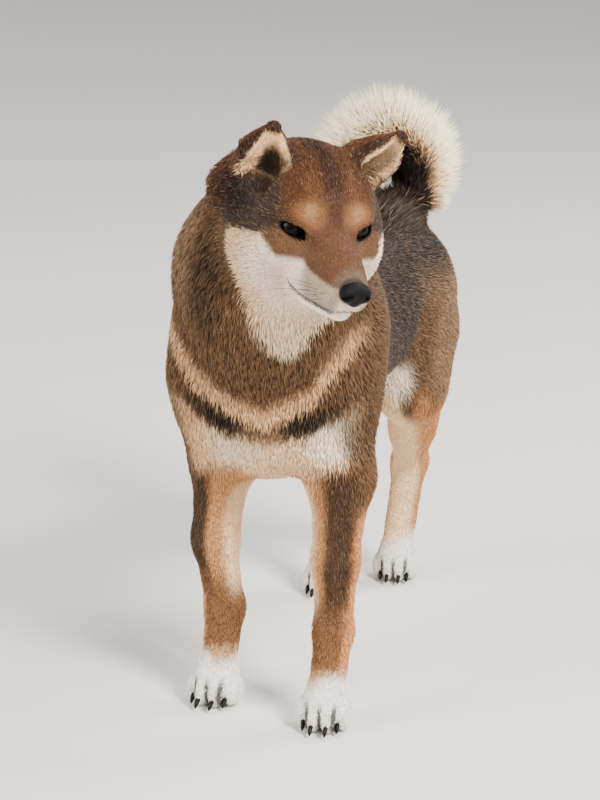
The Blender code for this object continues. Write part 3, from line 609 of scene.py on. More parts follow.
def surface(form, low, high, step):
    """Points and triangles of the form's surface inside a box, closed at the box's walls."""
    low, high = np.asarray(low, float), np.asarray(high, float)
    counts = np.ceil((high - low) / step).astype(int) + 1
    value = samples(form, low, counts, step)
    value[[0, -1]] = value[:, [0, -1]] = value[:, :, [0, -1]] = step
    triangles = crossings(value < 0, counts)
    edges = triangles[:, :6].reshape(-1, 2)
    keys, corner = np.unique(edges[:, 0] * counts.prod() + edges[:, 1], return_inverse=True)
    start, end = keys // counts.prod(), keys % counts.prod()
    share = value.reshape(-1)[start] / (value.reshape(-1)[start] - value.reshape(-1)[end])
    place = [np.stack(np.unravel_index(which, counts), 1).astype(float) for which in (start, end)]
    points = low + step * (place[0] + np.clip(share, 0.08, 0.92)[:, None] * (place[1] - place[0]))
    faces = corner.reshape(-1, 3)
    inner = low + step * np.stack(np.unravel_index(triangles[:, 6], counts), 1)
    a, b, c = (points[faces[:, i]] for i in range(3))
    wrong = (np.cross(b - a, c - a) * (a - inner)).sum(1) < 0
    faces[wrong] = faces[wrong][:, ::-1]
    return points, faces


def linked(name, data):
    """A new object in the scene."""
    thing = bpy.data.objects.new(name, data)
    bpy.context.scene.collection.objects.link(thing)
    return thing


def read(items, field, width, kind=float):
    """A field of a mesh's items, a row to each."""
    values = np.empty(len(items) * width, np.float32 if kind is float else np.int32)
    items.foreach_get(field, values)
    return values.reshape(-1, width).astype(kind)


def object_of(name, points, faces):
    """A smoothly shaded object of triangles."""
    mesh = bpy.data.meshes.new(name)
    mesh.vertices.add(len(points))
    mesh.vertices.foreach_set("co", np.asarray(points, np.float32).reshape(-1))
    mesh.loops.add(3 * len(faces))
    mesh.loops.foreach_set("vertex_index", np.asarray(faces, np.int32).reshape(-1))
    mesh.polygons.add(len(faces))
    mesh.polygons.foreach_set("loop_start", np.arange(0, 3 * len(faces), 3, dtype=np.int32))
    mesh.update(calc_edges=True)
    mesh.polygons.foreach_set("use_smooth", np.ones(len(faces), bool))
    return linked(name, mesh)


def settled(thing):
    """The thing with its modifiers applied."""
    graph = bpy.context.evaluated_depsgraph_get()
    thing.data = bpy.data.meshes.new_from_object(thing.evaluated_get(graph))
    thing.modifiers.clear()
    return thing


def shell(name, form, low, high, step, kept):
    """The form's surface in a box, smoothed a little and thinned."""
    thing = object_of(name, *surface(form, low, high, step))
    smooth = thing.modifiers.new("smooth", "SMOOTH")
    smooth.factor, smooth.iterations = 0.4, 2
    thin = thing.modifiers.new("thin", "DECIMATE")
    thin.ratio = kept
    thin.use_collapse_triangulate = True
    return settled(thing)


def smooth_object(name, shape):
    """A smoothly shaded object of a bmesh, which is freed."""
    mesh = bpy.data.meshes.new(name)
    shape.to_mesh(mesh)
    shape.free()
    mesh.polygons.foreach_set("use_smooth", np.ones(len(mesh.polygons), bool))
    return linked(name, mesh)


def joined(name, things):
    """One object of several."""
    shape = bmesh.new()
    for thing in things:
        shape.from_mesh(thing.data)
        bpy.data.objects.remove(thing)
    return smooth_object(name, shape)


def tube(path, radii, sides, flat=1.0):
    """Points and triangles of a closed tube along a path."""
    path = np.asarray(path)
    ways = unit(np.gradient(path, axis=0))
    up = np.array((0.0, 0.3, 1.0))
    side = unit(np.cross(ways, up))
    over = np.cross(side, ways)
    turns = 2 * math.pi * np.arange(sides) / sides
    rings = [
        point + radius * (np.outer(np.cos(turns), o) + np.outer(np.sin(turns), s) * flat)
        for point, radius, s, o in zip(path, radii, side, over)
    ]
    points = np.concatenate([*rings, path[:1], path[-1:]])
    faces = []
    for row, step in itertools.product(range(len(path) - 1), range(sides)):
        a, b = row * sides + step, row * sides + (step + 1) % sides
        faces += [(a, b, b + sides), (a, b + sides, a + sides)]
    first, last = len(points) - 2, len(points) - 1
    end = (len(path) - 1) * sides
    for step in range(sides):
        after = (step + 1) % sides
        faces += [(first, after, step), (last, end + step, end + after)]
    return points, np.array(faces)


def skin_mesh(skin):
    """Body, head, paws and tail core as one object. Their meshes overlap where they meet."""
    middle = in_head((0, -0.035, 0.0))
    cut = in_head((0, 0.018, -0.060))
    normal = HEAD_TURN @ unit((0, -0.50, 0.866))
    overlap = 0.008

    def head_part(points):
        return np.maximum(skin(points), (cut - points) @ normal - overlap)

    def body_part(points):
        return np.maximum(skin(points), (points - cut) @ normal - overlap)

    parts = [
        shell("head", head_part, *(middle + HEAD_BOX), HEAD_STEP, HEAD_KEPT),
        shell("body", body_part, *BODY_BOX, BODY_STEP, BODY_KEPT),
    ]
    for leg, ((x, y), _) in FEET.items():
        parts.append(shell(leg, skin, *(np.array((x, y, 0.0)) + PAW_BOX), PAW_STEP, PAW_KEPT))
    shares = np.linspace(TAIL_ROOT - 0.06, 1.0, 24)
    core = [tail_radius(share) * (0.8 if share < 0.99 else 0.3) for share in shares]
    parts.append(object_of("core", *tube([tail_point(share) for share in shares], core, 20)))
    return joined("skin", parts)


def tone(red, green, blue):
    """A colour given as it is seen, from 0 to 255, as light."""
    seen = np.array([red, green, blue]) / 255
    return np.where(seen <= 0.04045, seen / 12.92, ((seen + 0.055) / 1.055) ** 2.4)


BLACK = tone(16, 12, 11)
CHARCOAL = tone(26, 22, 21)
DARK_BROWN = tone(44, 32, 25)
GREY_FAWN = tone(60, 52, 46)
NECK_BROWN = tone(106, 79, 55)
STRIPE_BROWN = tone(74, 53, 38)
FAWN = tone(182, 148, 114)
BROW = tone(84, 49, 28)
MAUVE = tone(96, 64, 52)
TEMPLE_AND_SHADE = tone(60, 48, 40)
BRIDGE = tone(98, 65, 46)
EYE_TAN = tone(98, 66, 43)
RED_BROWN = tone(82, 47, 27)
DEEP_RED = tone(50, 30, 20)
RUST = tone(158, 108, 68)
ORANGE = tone(212, 146, 92)
LEG_BROWN = tone(98, 64, 41)
TAN = tone(208, 150, 98)
PALE_TAN = tone(226, 182, 134)
CREAM = tone(244, 208, 164)
WHITE = tone(240, 222, 200)
PAW_WHITE = tone(250, 245, 238)
BREAST_WHITE = tone(250, 234, 210)
TAIL_WHITE = tone(255, 242, 208)
GREY_WHITE = tone(158, 144, 128)
EYE_BROWN = tone(30, 18, 12)
PUPIL = tone(4, 3, 4)
NOSE_BLACK = tone(4, 4, 5)
HORN = tone(9, 8, 8)
WHISKER = tone(48, 42, 40)
FLOOR_GREY = (0.72, 0.70, 0.67, 1.0)
WORLD_WHITE = (1.0, 0.985, 0.96, 1.0)

# Soft patches of colour, in the dog's axes or, from the brow arch on, in the head's. Each has a middle,
# radii, softness and strength, and the fur's colour or those of its ground and tips. The dark patch by
# the cheek and the near-black one under each ear are painted shade.
PATCHES = {
    "nape": ((-0.060, -0.200, 0.405), (0.016, 0.030, 0.050), 0.6, 0.45, FAWN, STRIPE_BROWN),
    "painted shade by the cheek": ((-0.038, -0.230, 0.385), (0.022, 0.030, 0.045), 0.7, 0.7, DARK_BROWN * 1.3, BLACK),
    "croup": ((0.010, 0.118, 0.376), (0.040, 0.050, 0.030), 0.6, 1.0, DARK_BROWN, BLACK),
    "between the legs": ((-0.030, -0.190, 0.232), (0.035, 0.06, 0.016), 0.35, 0.6, WHITE),
    "left breast": ((0.060, -0.180, 0.245), (0.022, 0.06, 0.020), 0.35, 0.8, BREAST_WHITE),
    "thigh": ((0.084, 0.125, 0.250), (0.016, 0.050, 0.070), 0.35, 0.45, FAWN, NECK_BROWN),
    "flank": ((0.044, 0.060, 0.250), (0.026, 0.034, 0.045), 0.35, 0.9, BREAST_WHITE),
    "brow arch": ((0.0165, -0.050, 0.0340), (0.006, 0.016, 0.010), 0.7, 0.2, RUST, RED_BROWN),
    "under the eye": ((0.035, -0.059, -0.006), (0.017, 0.018, 0.0125), 0.5, 0.85, EYE_TAN, EYE_TAN * 0.8),
    "brow spot": ((0.0195, -0.062, 0.0185), (0.0110, 0.014, 0.0090), 0.6, 0.70, RUST),
    "spot middle": ((0.0190, -0.064, 0.0195), (0.0042, 0.010, 0.0058), 0.8, 0.12, CREAM),
    "inner corner": ((0.0150, -0.068, -0.002), (0.005, 0.010, 0.006), 0.8, 0.7, DEEP_RED),
    "outer corner": ((0.042, -0.046, 0.006), (0.007, 0.010, 0.0045), 0.8, 0.7, DARK_BROWN),
    "ear back": ((0.046, 0.034, 0.024), (0.030, 0.036, 0.040), 0.4, 0.85, RED_BROWN, DEEP_RED),
    "painted shade under the ear": ((0.058, 0.002, 0.010), (0.016, 0.026, 0.016), 0.6, 0.9, BLACK * 1.6, BLACK),
}


class Paint:
    """Two colours for each point: the fur's ground colour and the colour of its tips."""

    def __init__(self, count, ground, tips):
        self.ground = np.tile(ground, (count, 1))
        self.tips = np.tile(tips, (count, 1))

    def lay(self, ground, share, tips=None):
        """Lays one colour over the share of each point, or one on the ground and one on the tips."""
        share = np.clip(share, 0, 1)[:, None]
        self.ground += (ground - self.ground) * share
        self.tips += ((ground if tips is None else tips) - self.tips) * share

    def patch(self, points, name, share=1.0, side=1):
        """Lays one of the soft patches, on the dog's left as it is given or mirrored on its right."""
        middle, radii, soft, strength, ground, *tips = PATCHES[name]
        share = strength * share * blob(points, mirrored(middle, side), radii, soft)
        self.lay(ground, share, *tips)


def above(x, z, corners):
    """How far each point is above a line through corners, given as x and z."""
    line_x, line_z = np.array(corners).T
    return z - np.interp(x, line_x, line_z)


# Lines across the breast, as x and z: the pale band, and the cream bib's upper and lower edges.
PALE_BAND = (
    (-0.085, 0.322), (-0.056, 0.293), (-0.017, 0.272),
    (0.012, 0.263), (0.046, 0.281), (0.072, 0.330),
)
BIB_TOP = (
    (-0.100, 0.272), (-0.069, 0.266), (-0.048, 0.254), (-0.020, 0.246),
    (0.012, 0.243), (0.038, 0.247), (0.060, 0.264), (0.082, 0.282),
)
BIB_FOOT = (
    (-0.090, 0.200), (-0.060, 0.200), (-0.021, 0.212),
    (0.010, 0.196), (0.040, 0.214), (0.085, 0.226),
)
PALE_BAND_HALF = 0.0090
# The dark spots on the breast start at these x and z, and run outwards and up.
BREAST_SPOTS = ((-0.021, 0.256, -1), (0.034, 0.257, 1))
# Each foreleg's dark stripe: the way it faces, how broad it is, and the heights that it fades between.
LEG_STRIPES = {
    1: ((0.42, -0.91, 0.0), 0.66, 0.078, 0.115),
    -1: ((-0.80, -0.60, 0.0), 0.55, 0.080, 0.125),
}


def body_markings_and_shade(paint, points, normals):
    """Sesame back and neck with painted shade by the cheek, tan and cream legs, and the bands of the chest.
    """
    x, y, z = points.T
    nx, ny, nz = normals.T
    front = ramp(-0.135, -0.175, y) * ramp(0.25, -0.25, ny)
    paint.lay(NECK_BROWN, ramp(-0.02, -0.10, y), DARK_BROWN)
    # The dark patch on the neck's right side, under the turned head, is painted shade.
    for name in ("nape", "painted shade by the cheek", "croup"):
        paint.patch(points, name)
    paint.lay(NECK_BROWN, ramp(0.05, 0.12, y) * ramp(0.35, 0.31, z), DARK_BROWN)
    spine = ramp(0.30, 0.75, nz) * ramp(-0.22, -0.15, y)
    paint.lay(GREY_FAWN, 0.85 * spine, CHARCOAL)
    paint.lay(CREAM, ramp(-0.35, -0.75, nz) * ramp(0.260, 0.235, z))
    band = ramp(PALE_BAND_HALF * 1.7, PALE_BAND_HALF * 0.4, np.abs(above(x, z, PALE_BAND)))
    paint.lay(PALE_TAN, 0.90 * front * band, PALE_TAN * 0.7)
    bib = front * ramp(0.006, -0.006, above(x, z, BIB_TOP)) * ramp(0.97, 0.80, np.abs(nx))
    paint.lay(CREAM, bib)
    paint.patch(points, "between the legs", bib)
    paint.patch(points, "left breast", bib)
    paint.lay(PALE_TAN, 0.9 * bib * ramp(-0.025, -0.060, x))
    for spot_x, spot_z, way in BREAST_SPOTS:
        for step in np.linspace(0, 1, 5):
            place = (spot_x + way * 0.034 * step, -0.200, spot_z + 0.017 * step)
            share = (1.0 - 0.5 * step) * blob(points, place, (0.012, 0.05, 0.0085), 0.6)
            paint.lay(DARK_BROWN * 0.8, share, BLACK)
    body_legs(paint, points, normals)


def body_legs(paint, points, normals):
    """Dark stripes down tan forelegs, cream hind legs with a tan outer edge, and white paws with painted
    shade along the creases between the toes.
    """
    x, y, z = points.T
    nx, ny, _ = normals.T
    hind = ramp(0.045, 0.075, y)
    out = np.where(x > PELVIS_X - 0.006, nx, -nx)
    uneven = z + 0.010 * np.sin(90 * y + 40 * x)
    paint.lay(FAWN, 0.25 * hind * ramp(0.35, 0.80, out) * ramp(0.350, 0.310, z), NECK_BROWN)
    paint.lay(CREAM, hind * ramp(0.35, -0.05, out) * ramp(0.285, 0.250, uneven))
    paint.lay(NECK_BROWN, hind * ramp(0.02, 0.28, out) * between(z, 0.175, 0.205, 0.29, 0.33), DARK_BROWN)
    paint.patch(points, "thigh")
    paint.lay(CREAM, hind * ramp(0.165, 0.125, uneven))
    rear = ramp(-0.22, 0.33, 0.8 * out + 0.7 * ny - 0.32 * ramp(0.16, 0.11, z))
    paint.lay(ORANGE, 0.95 * hind * rear * ramp(0.225, 0.185, uneven) * ramp(0.045, 0.060, z), LEG_BROWN)
    paint.patch(points, "flank", ramp(0.80, 0.40, nx))
    fore = ramp(-0.09, -0.11, y) * ramp(0.010, -0.010, above(x, z, BIB_FOOT))
    out = np.where(x > ELBOW_X, nx, -nx)
    paint.lay(TAN, fore, LEG_BROWN)
    paint.lay(ORANGE, 0.8 * fore * ramp(0.35, 0.75, out))
    paint.lay(LEG_BROWN, 0.8 * fore * ramp(0.125, 0.095, z) * ramp(0.85, 0.55, out))
    paint.lay(PALE_TAN, 0.55 * fore * ramp(0.056, 0.046, z))
    paint.lay(CREAM, 0.9 * fore * ramp(-0.45, -0.85, out) * ramp(0.085, 0.110, z))
    for side, (way, broad, low, high) in LEG_STRIPES.items():
        this = np.sign(x - ELBOW_X) == side
        stripe = this * ramp(broad - 0.06, broad + 0.26, normals @ unit(way)) * ramp(low, high, z)
        paint.lay(STRIPE_BROWN, fore * stripe, DARK_BROWN)
    shoulder = ramp(-0.09, -0.12, y) * ramp(0.170, 0.190, z) * ramp(0.50, 0.80, out)
    paint.lay(NECK_BROWN, 0.9 * shoulder * ramp(0.30, 0.25, z), DARK_BROWN)
    paint.lay(PAW_WHITE, ramp(0.050, 0.034, z + 0.004 * np.sin(150 * x)))
    for (paw_x, paw_y), heading in FEET.values():
        local = (points - (paw_x, paw_y, 0.0)) @ turned(yaw=heading)
        toes = (lengths(local[:, :2]) < 0.040) * ramp(0.002, -0.006, local[:, 1])
        low = ramp(0.030, 0.020, z)
        # Charcoal along the creases between the toes is painted shade.
        for seam in (-TOE_SEAM, 0.0, TOE_SEAM):
            paint.lay(CHARCOAL, 0.9 * toes * low * ramp(0.0021, 0.0012, np.abs(local[:, 0] - seam)))


# The white cheek's edges in the head's axes: its top as y and z, and its rear edge as z and y.
CHEEK_TOP = (
    (-0.110, -0.085, -0.074, -0.060, -0.046, -0.016),
    (-0.021, -0.0195, -0.0150, -0.0170, -0.0060, -0.0130),
)
CHEEK_BACK = (
    (-0.106, -0.098, -0.081, -0.060, -0.039, -0.023),
    (-0.046, -0.041, -0.032, -0.022, -0.017, -0.012),
)
# The white under the throat: heights, and its middle and half its width at each. It ends in a point.
BIB_HEIGHTS = (-0.106, -0.098, -0.081, -0.074, -0.060, -0.045)
BIB_MIDDLE = (-0.016, -0.020, -0.020, -0.018, -0.008, 0.0)
BIB_HALF = (0.006, 0.014, 0.026, 0.032, 0.056, 0.090)
THROAT_Z = -0.106


def head_markings_and_shade(paint, points):
    """The mask of a black sesame dog: reddish brow, dark temples that are partly painted shadow below the
    ears, white cheeks, muzzle and throat.
    """
    local = to_head(points)
    x, y, z = local.T
    side = np.abs(x)
    on_head = blob(local, (0, -0.030, -0.005), (0.078, 0.110, 0.068), 0.15)
    on_head *= ramp(0.045, 0.020, y + 0.5 * (-z - 0.03))
    on_muzzle = ramp(-0.050, -0.068, y) * ramp(-0.090, -0.070, z)
    on_head = np.maximum(on_head, on_muzzle)
    paint.lay(NECK_BROWN, on_head, DARK_BROWN)
    brow = on_head * ramp(0.050, 0.030, side) * ramp(-0.004, 0.016, z)
    paint.lay(BROW, brow, BROW * 0.5)
    paint.lay(MAUVE, 0.6 * brow * ramp(-0.020, 0.000, y), BROW * 0.6)
    stripe = ramp(0.011, 0.003, side) * ramp(-0.074, -0.060, y)
    paint.lay(DEEP_RED, 0.8 * brow * stripe, BLACK)
    for way in (-1, 1):
        paint.patch(local, "brow arch", side=way)
    # The temple is dark partly as a marking and partly as painted shadow below the ear.
    temple_and_shade = on_head * ramp(0.030, 0.042, side) * ramp(-0.020, -0.006, z) * ramp(-0.058, -0.042, y)
    paint.lay(TEMPLE_AND_SHADE, 0.95 * temple_and_shade, CHARCOAL)
    bridge = on_head * ramp(0.026, 0.016, side) * ramp(-0.055, -0.066, y) * ramp(-0.024, -0.014, z)
    paint.lay(BRIDGE, bridge, RED_BROWN)
    paint.lay(DEEP_RED, 0.5 * bridge * ramp(0.009, 0.003, side) * ramp(-0.082, -0.066, y))
    paint.lay(GREY_WHITE * 0.5, 0.6 * bridge * ramp(-0.110, -0.122, y))
    names = ("under the eye", "brow spot", "spot middle", "inner corner", "outer corner")
    for way, name in itertools.product((-1, 1), names):
        paint.patch(local, name, side=way)
    cheek_markings(paint, local, on_muzzle)


def cheek_markings(paint, local, on_muzzle):
    """White cheeks, throat and muzzle, greyer beside the nose."""
    x, y, z = local.T
    cheek = ramp(0.0035, -0.0030, z - np.interp(y, *CHEEK_TOP))
    cheek *= ramp(0.005, -0.004, y - np.interp(z, *CHEEK_BACK))
    bib_middle = np.interp(z, BIB_HEIGHTS, BIB_MIDDLE)
    bib_half = np.interp(z, BIB_HEIGHTS, BIB_HALF)
    throat = ramp(THROAT_Z - 0.004, THROAT_Z + 0.004, z)
    cheek *= ramp(0.005, -0.005, np.abs(x - bib_middle) - bib_half) * throat
    paint.lay(WHITE, cheek)
    paint.lay(CREAM, 0.65 * cheek * ramp(-0.045, -0.075, z) * (1 - on_muzzle))
    paint.lay(PALE_TAN, 0.80 * cheek * ramp(-0.040, -0.024, y))
    paint.lay(PALE_TAN, 0.60 * cheek * ramp(-0.024, -0.012, z) * ramp(-0.052, -0.040, y))
    muzzle = cheek * ramp(-0.072, -0.088, y) * ramp(0.006, 0.012, np.abs(x)) * ramp(-0.046, -0.042, z)
    paint.lay(GREY_WHITE, 0.90 * muzzle)
    paint.lay(FAWN, 0.6 * muzzle * ramp(-0.034, -0.024, z))
    paint.lay(GREY_WHITE * 0.4, 0.6 * muzzle * ramp(-0.034, -0.040, z) * ramp(-0.088, -0.100, y))
    paint.lay(PAW_WHITE, 0.8 * on_muzzle * ramp(-0.043, -0.047, z))


# For each ear, across it from -1 at its inner edge to 1 at its outer one: where the pale cup starts and
# ends, how dark the painted shade in its hollow is, the hollow's half width and middle, and how far up
# the ear it reaches.
CUPS = {1: (-0.76, 0.66, 0.75, 0.70, 0.0, 1.10), -1: (-0.98, 0.74, 0.97, 0.80, -0.48, 0.70)}


def ear_markings_and_shade(paint, points, normals):
    """Dark backs and rims, cups that are cream with painted shade deep inside, and painted shade below each
    ear.
    """
    local = to_head(points)
    facing = normals @ HEAD_TURN
    for side, (base, tip, front, broad) in EARS.items():
        this = np.sign(local[:, 0]) == side
        paint.patch(local, "ear back", this, side)
        # A near-black painted shadow on the skull below each ear.
        paint.patch(local, "painted shade under the ear", side=side)
        share, off = along_ear(local, side)
        here = this * ramp(-0.30, -0.15, share) * (lengths(off) < EAR_REACH)
        forward = facing @ unit(front)
        paint.lay(RED_BROWN, here * ramp(0.0, 0.2, share), DEEP_RED)
        across = unit(np.cross(np.subtract(tip, base), front))
        half = broad * np.interp(share, (0, 0.55, 1), (0.0185, 0.0140, 0.0060))
        edge = (off @ across) * np.sign(across[0]) * side / half
        inner, outer, dark, wide, middle, far = CUPS[side]
        cup = here * ramp(0.10, 0.35, forward) * ramp(1.00, 0.84, share)
        cup *= between(edge, inner - 0.12, inner + 0.04, outer - 0.04, outer + 0.12)
        rim = here * ramp(0.05, 0.20, share) * ramp(-0.1, 0.2, forward) * (1 - cup)
        paint.lay(DEEP_RED, rim, BLACK)
        paint.lay(PALE_TAN, cup, CREAM)
        # Charcoal in the cup's hollow is painted shade in the ear's recess.
        hollow = ramp(wide, wide * 0.55, np.abs(edge - middle)) * ramp(far, far * 0.55, share)
        paint.lay(CHARCOAL, dark * cup * hollow)


def tail_markings(paint, outside):
    """White long hair outside the curl, tan beside it, and near black inside it and at its root."""
    paint.lay(FAWN * 0.7, ramp(0.30, 0.48, outside), FAWN)
    paint.lay(PALE_TAN, ramp(0.42, 0.60, outside), CREAM)
    paint.lay(TAIL_WHITE * 0.9, ramp(0.52, 0.70, outside), TAIL_WHITE)


def markings(points, normals):
    """The whole coat's paint."""
    paint = Paint(len(points), GREY_FAWN, CHARCOAL)
    body_markings_and_shade(paint, points, normals)
    head_markings_and_shade(paint, points)
    ear_markings_and_shade(paint, points, normals)
    return paint


def outward(form, points):
    """The direction straight out of the form at each point."""
    small = 2e-4
    slopes = [form(points + small * way) - form(points - small * way) for way in np.eye(3)]
    return unit(np.stack(slopes, 1))


def lie(points, normals):
    """Which way the fur lies at each point, along the surface."""
    local = to_head(points)
    _, y, z = points.T
    way = np.tile((0.0, 1.0, -0.45), (len(points), 1))

    def turn_to(direction, share):
        way[:] += (unit(direction) - way) * share[:, None]

    turn_to((0.0, 0.15, -1.0), ramp(-0.11, -0.17, y))
    turn_to((0.0, 0.55, -1.0), ramp(0.08, 0.14, y) * ramp(0.34, 0.28, z))
    turn_to((0.0, 0.10, -1.0), ramp(0.235, 0.190, z))
    turn_to((0.0, -0.9, -0.45), ramp(0.050, 0.030, z))
    from_nose = unit(local - np.array((0.0, -0.135, -0.015))) + np.array((0.0, 0.6, 0.0))
    from_nose[:, 2] -= 0.5 * ramp(-0.02, 0.02, local[:, 1]) + 0.35 * ramp(-0.02, -0.05, local[:, 2])
    on_head = blob(local, (0, -0.030, -0.005), (0.080, 0.110, 0.070), 0.2)
    turn_to(unit(from_nose) @ HEAD_TURN.T, on_head)
    for side in EARS:
        base, tip = np.array(EARS[side][:2])
        here = ear_share(points) * (np.sign(local[:, 0]) == side)
        turn_to(HEAD_TURN @ (tip - base), here)
    way -= (way * normals).sum(1)[:, None] * normals
    return unit(way)


def tuft_sizes(points):
    """Length, width and standing-out of the tufts at each point, and how densely they grow."""
    local = to_head(points)
    face = blob(local, (0, -0.040, -0.005), (0.075, 0.080, 0.068), 0.2)
    shares = {
        "neck": blob(points, (-0.005, -0.170, 0.350), (0.10, 0.09, 0.08)),
        "croup": blob(points, (0.008, 0.118, 0.378), (0.032, 0.045, 0.026), 0.6),
        "leg": ramp(0.235, 0.170, points[:, 2]),
        "paw": ramp(0.065, 0.042, points[:, 2]),
        "face": face,
        "cheek": face * ramp(0.032, 0.055, np.abs(local[:, 0])) * ramp(0.005, -0.020, local[:, 2]),
        "muzzle": ramp(-0.046, -0.070, local[:, 1]) * ramp(-0.090, -0.072, local[:, 2]),
        "ear": ear_share(points),
    }
    sizes = np.tile(np.array(TUFT_SIZES["back"])[:, None], len(points))
    for part, share in shares.items():
        sizes += (np.array(TUFT_SIZES[part])[:, None] - sizes) * share
    return sizes


def skin_triangles(skin_object):
    """Each triangle's corners, and their places on the bake map."""
    mesh = skin_object.data
    corners = read(mesh.loops, "vertex_index", 1, int).reshape(-1, 3)
    places = read(mesh.uv_layers["OFBake"].data, "uv", 2)
    return read(mesh.vertices, "co", 3)[corners], places.reshape(-1, 3, 2)


def nearest_places(skin_object, roots):
    """The place on the bake map of the skin's point that is nearest to each root."""
    shape, uv = skin_triangles(skin_object)
    faces = np.arange(3 * len(shape)).reshape(-1, 3)
    tree = BVHTree.FromPolygons(shape.reshape(-1, 3).tolist(), faces.tolist())
    places = []
    for root in roots:
        spot, _, face, _ = tree.find_nearest(root)
        shares = poly_3d_calc([Vector(corner) for corner in shape[face]], spot)
        places.append(shares @ uv[face])
    return np.array(places)


def rooted(skin_object, skin, mouth, count):
    """Random roots on the skin, as dense as the coat is there, with each one's bake map place."""
    shape, uv = skin_triangles(skin_object)
    area = lengths(np.cross(shape[:, 1] - shape[:, 0], shape[:, 2] - shape[:, 0])) / 2
    middle = shape.mean(axis=1)
    dense = tuft_sizes(middle)[3]
    seen = np.abs(skin(middle)) < 0.0012
    odds = area * dense * seen
    picked = draw.choice(len(odds), count, p=odds / odds.sum())
    r, s = draw.random((2, count))
    over = r + s > 1
    r[over], s[over] = 1 - r[over], 1 - s[over]
    mix = np.stack([1 - r - s, r, s], 1)
    roots = (shape[picked] * mix[:, :, None]).sum(1)
    place = (uv[picked] * mix[:, :, None]).sum(1)
    keep = (roots[:, 2] > FLOOR_BARE) & (gap_to(roots, mouth) > MOUTH_BARE)
    local = to_head(roots)
    for side in (-1, 1):
        keep &= from_slit(local, side, LID_BARE) > 1
        keep &= distance_to(local, mirrored(EYE_AT, side)) > EYE_R + EYE_BARE
    keep &= distance_to(local, NOSE_AT) > NOSE_BARE
    return roots[keep], place[keep]


def tufts(name, roots, normals, ways, sizes, colours, places):
    """Joined tufts: each a closed, flat, tapered blade of ten triangles that bends down to the body."""
    length, width, lift = (value[:, None] for value in sizes)
    side = unit(np.cross(ways, normals))
    low = unit(ways + normals * np.tan(lift * 1.5))
    high = unit(ways + normals * np.tan(lift * 0.45))
    middle = roots + low * length * 0.45
    tip = middle + high * length * 0.55
    start = roots - normals * TUFT_ROOT
    thick = normals * width * 0.35
    rings = []
    for centre, broad in ((start, 0.40), (middle, 0.50)):
        rings += [centre - side * width * broad, centre + side * width * broad, centre + thick]
    points = np.stack([*rings, tip], 1).reshape(-1, 3)
    points[:, 2] = np.maximum(points[:, 2], FLOOR_GAP)
    blade = np.array([(0, 1, 4), (0, 4, 3), (1, 2, 5), (1, 5, 4), (2, 0, 3), (2, 3, 5),
                      (3, 4, 6), (4, 5, 6), (5, 3, 6), (0, 2, 1)])
    faces = (blade[None] + 7 * np.arange(len(roots))[:, None, None]).reshape(-1, 3)
    thing = object_of(name, points, faces)
    ground, tips = colours
    # Each tuft's root is painted darker, at 0.55 of its ground colour, as painted shade deep in the coat.
    # Its middle goes a quarter of the way to the tips' colour.
    shades = [ground * 0.55] * 3 + [ground + (tips - ground) * 0.25] * 3 + [tips]
    set_colour(thing, np.stack(shades, 1).reshape(-1, 3))
    corner = np.array([(0.1, 0.0), (0.9, 0.0), (0.5, 0.1), (0.1, 0.5), (0.9, 0.5), (0.5, 0.6), (0.5, 1.0)])
    spots = places[:, None, :] + BAKE_PATCH * (corner[None] - 0.5)
    layer = thing.data.uv_layers.new(name="OFBake")
    layer.data.foreach_set("uv", spots.reshape(-1, 2)[faces.reshape(-1)].astype(np.float32).reshape(-1))
    return thing


def set_colour(thing, colours):
    """Gives each point of a mesh its own colour."""
    layer = thing.data.color_attributes.new("fur_colour", "FLOAT_COLOR", "POINT")
    colours = np.concatenate([np.clip(colours, 0, 1), np.ones((len(colours), 1))], 1)
    layer.data.foreach_set("color", colours.astype(np.float32).reshape(-1))


def material_of(name, roughness, specular):
    material = bpy.data.materials.new(name)
    material.use_nodes = True
    shader = material.node_tree.nodes["Principled BSDF"]
    shader.inputs["Roughness"].default_value = roughness
    shader.inputs["Specular IOR Level"].default_value = specular
    return material, shader


def node_of(material, kind, inputs=(), **settings):
    """A new node with its settings and inputs."""
    node = material.node_tree.nodes.new("ShaderNode" + kind)
    for name, value in settings.items():
        setattr(node, name, value)
    for name, value in dict(inputs).items():
        node.inputs[name].default_value = value
    return node


def join(material, *wires):
    """Links each node's output to an input of another."""
    for source, output, target, entry in wires:
        material.node_tree.links.new(source.outputs[output], target.inputs[entry])


def fur_material():
    """Fur takes its colours from the markings and painted shade, a little uneven from hair to hair."""
    material, shader = material_of("fur", 0.6, 0.12)
    colour = node_of(material, "Attribute", attribute_name="fur_colour")
    noise = node_of(material, "TexNoise", {"Scale": 260, "Detail": 2})
    span = node_of(material, "MapRange", {"To Min": 0.78, "To Max": 1.22})
    mix = node_of(material, "Mix", {"Factor": 1.0}, data_type="RGBA", blend_type="MULTIPLY")
    join(material, (noise, "Fac", span, "Value"), (colour, "Color", mix, "A"),
         (span, "Result", mix, "B"), (mix, "Result", shader, "Base Color"))
    return material


def pebbled_material(name, colour, roughness, scale, depth, specular):
    """Bare skin, horn or hair with a pebbled grain."""
    material, shader = material_of(name, roughness, specular)
    cells = node_of(material, "TexVoronoi", {"Scale": scale})
    bump = node_of(material, "Bump", {"Strength": 0.5, "Distance": depth})
    shades = {"A": (*(colour * 1.6), 1.0), "B": (*colour, 1.0)}
    shade = node_of(material, "Mix", shades, data_type="RGBA")
    join(material, (cells, "Distance", bump, "Height"), (bump, "Normal", shader, "Normal"),
         (cells, "Distance", shade, "Factor"), (shade, "Result", shader, "Base Color"))
    return material


def coloured_material(name, roughness, specular):
    """A surface whose points carry their own colours."""
    material, shader = material_of(name, roughness, specular)
    colour = node_of(material, "Attribute", attribute_name="fur_colour")
    join(material, (colour, "Color", shader, "Base Color"))
    return material


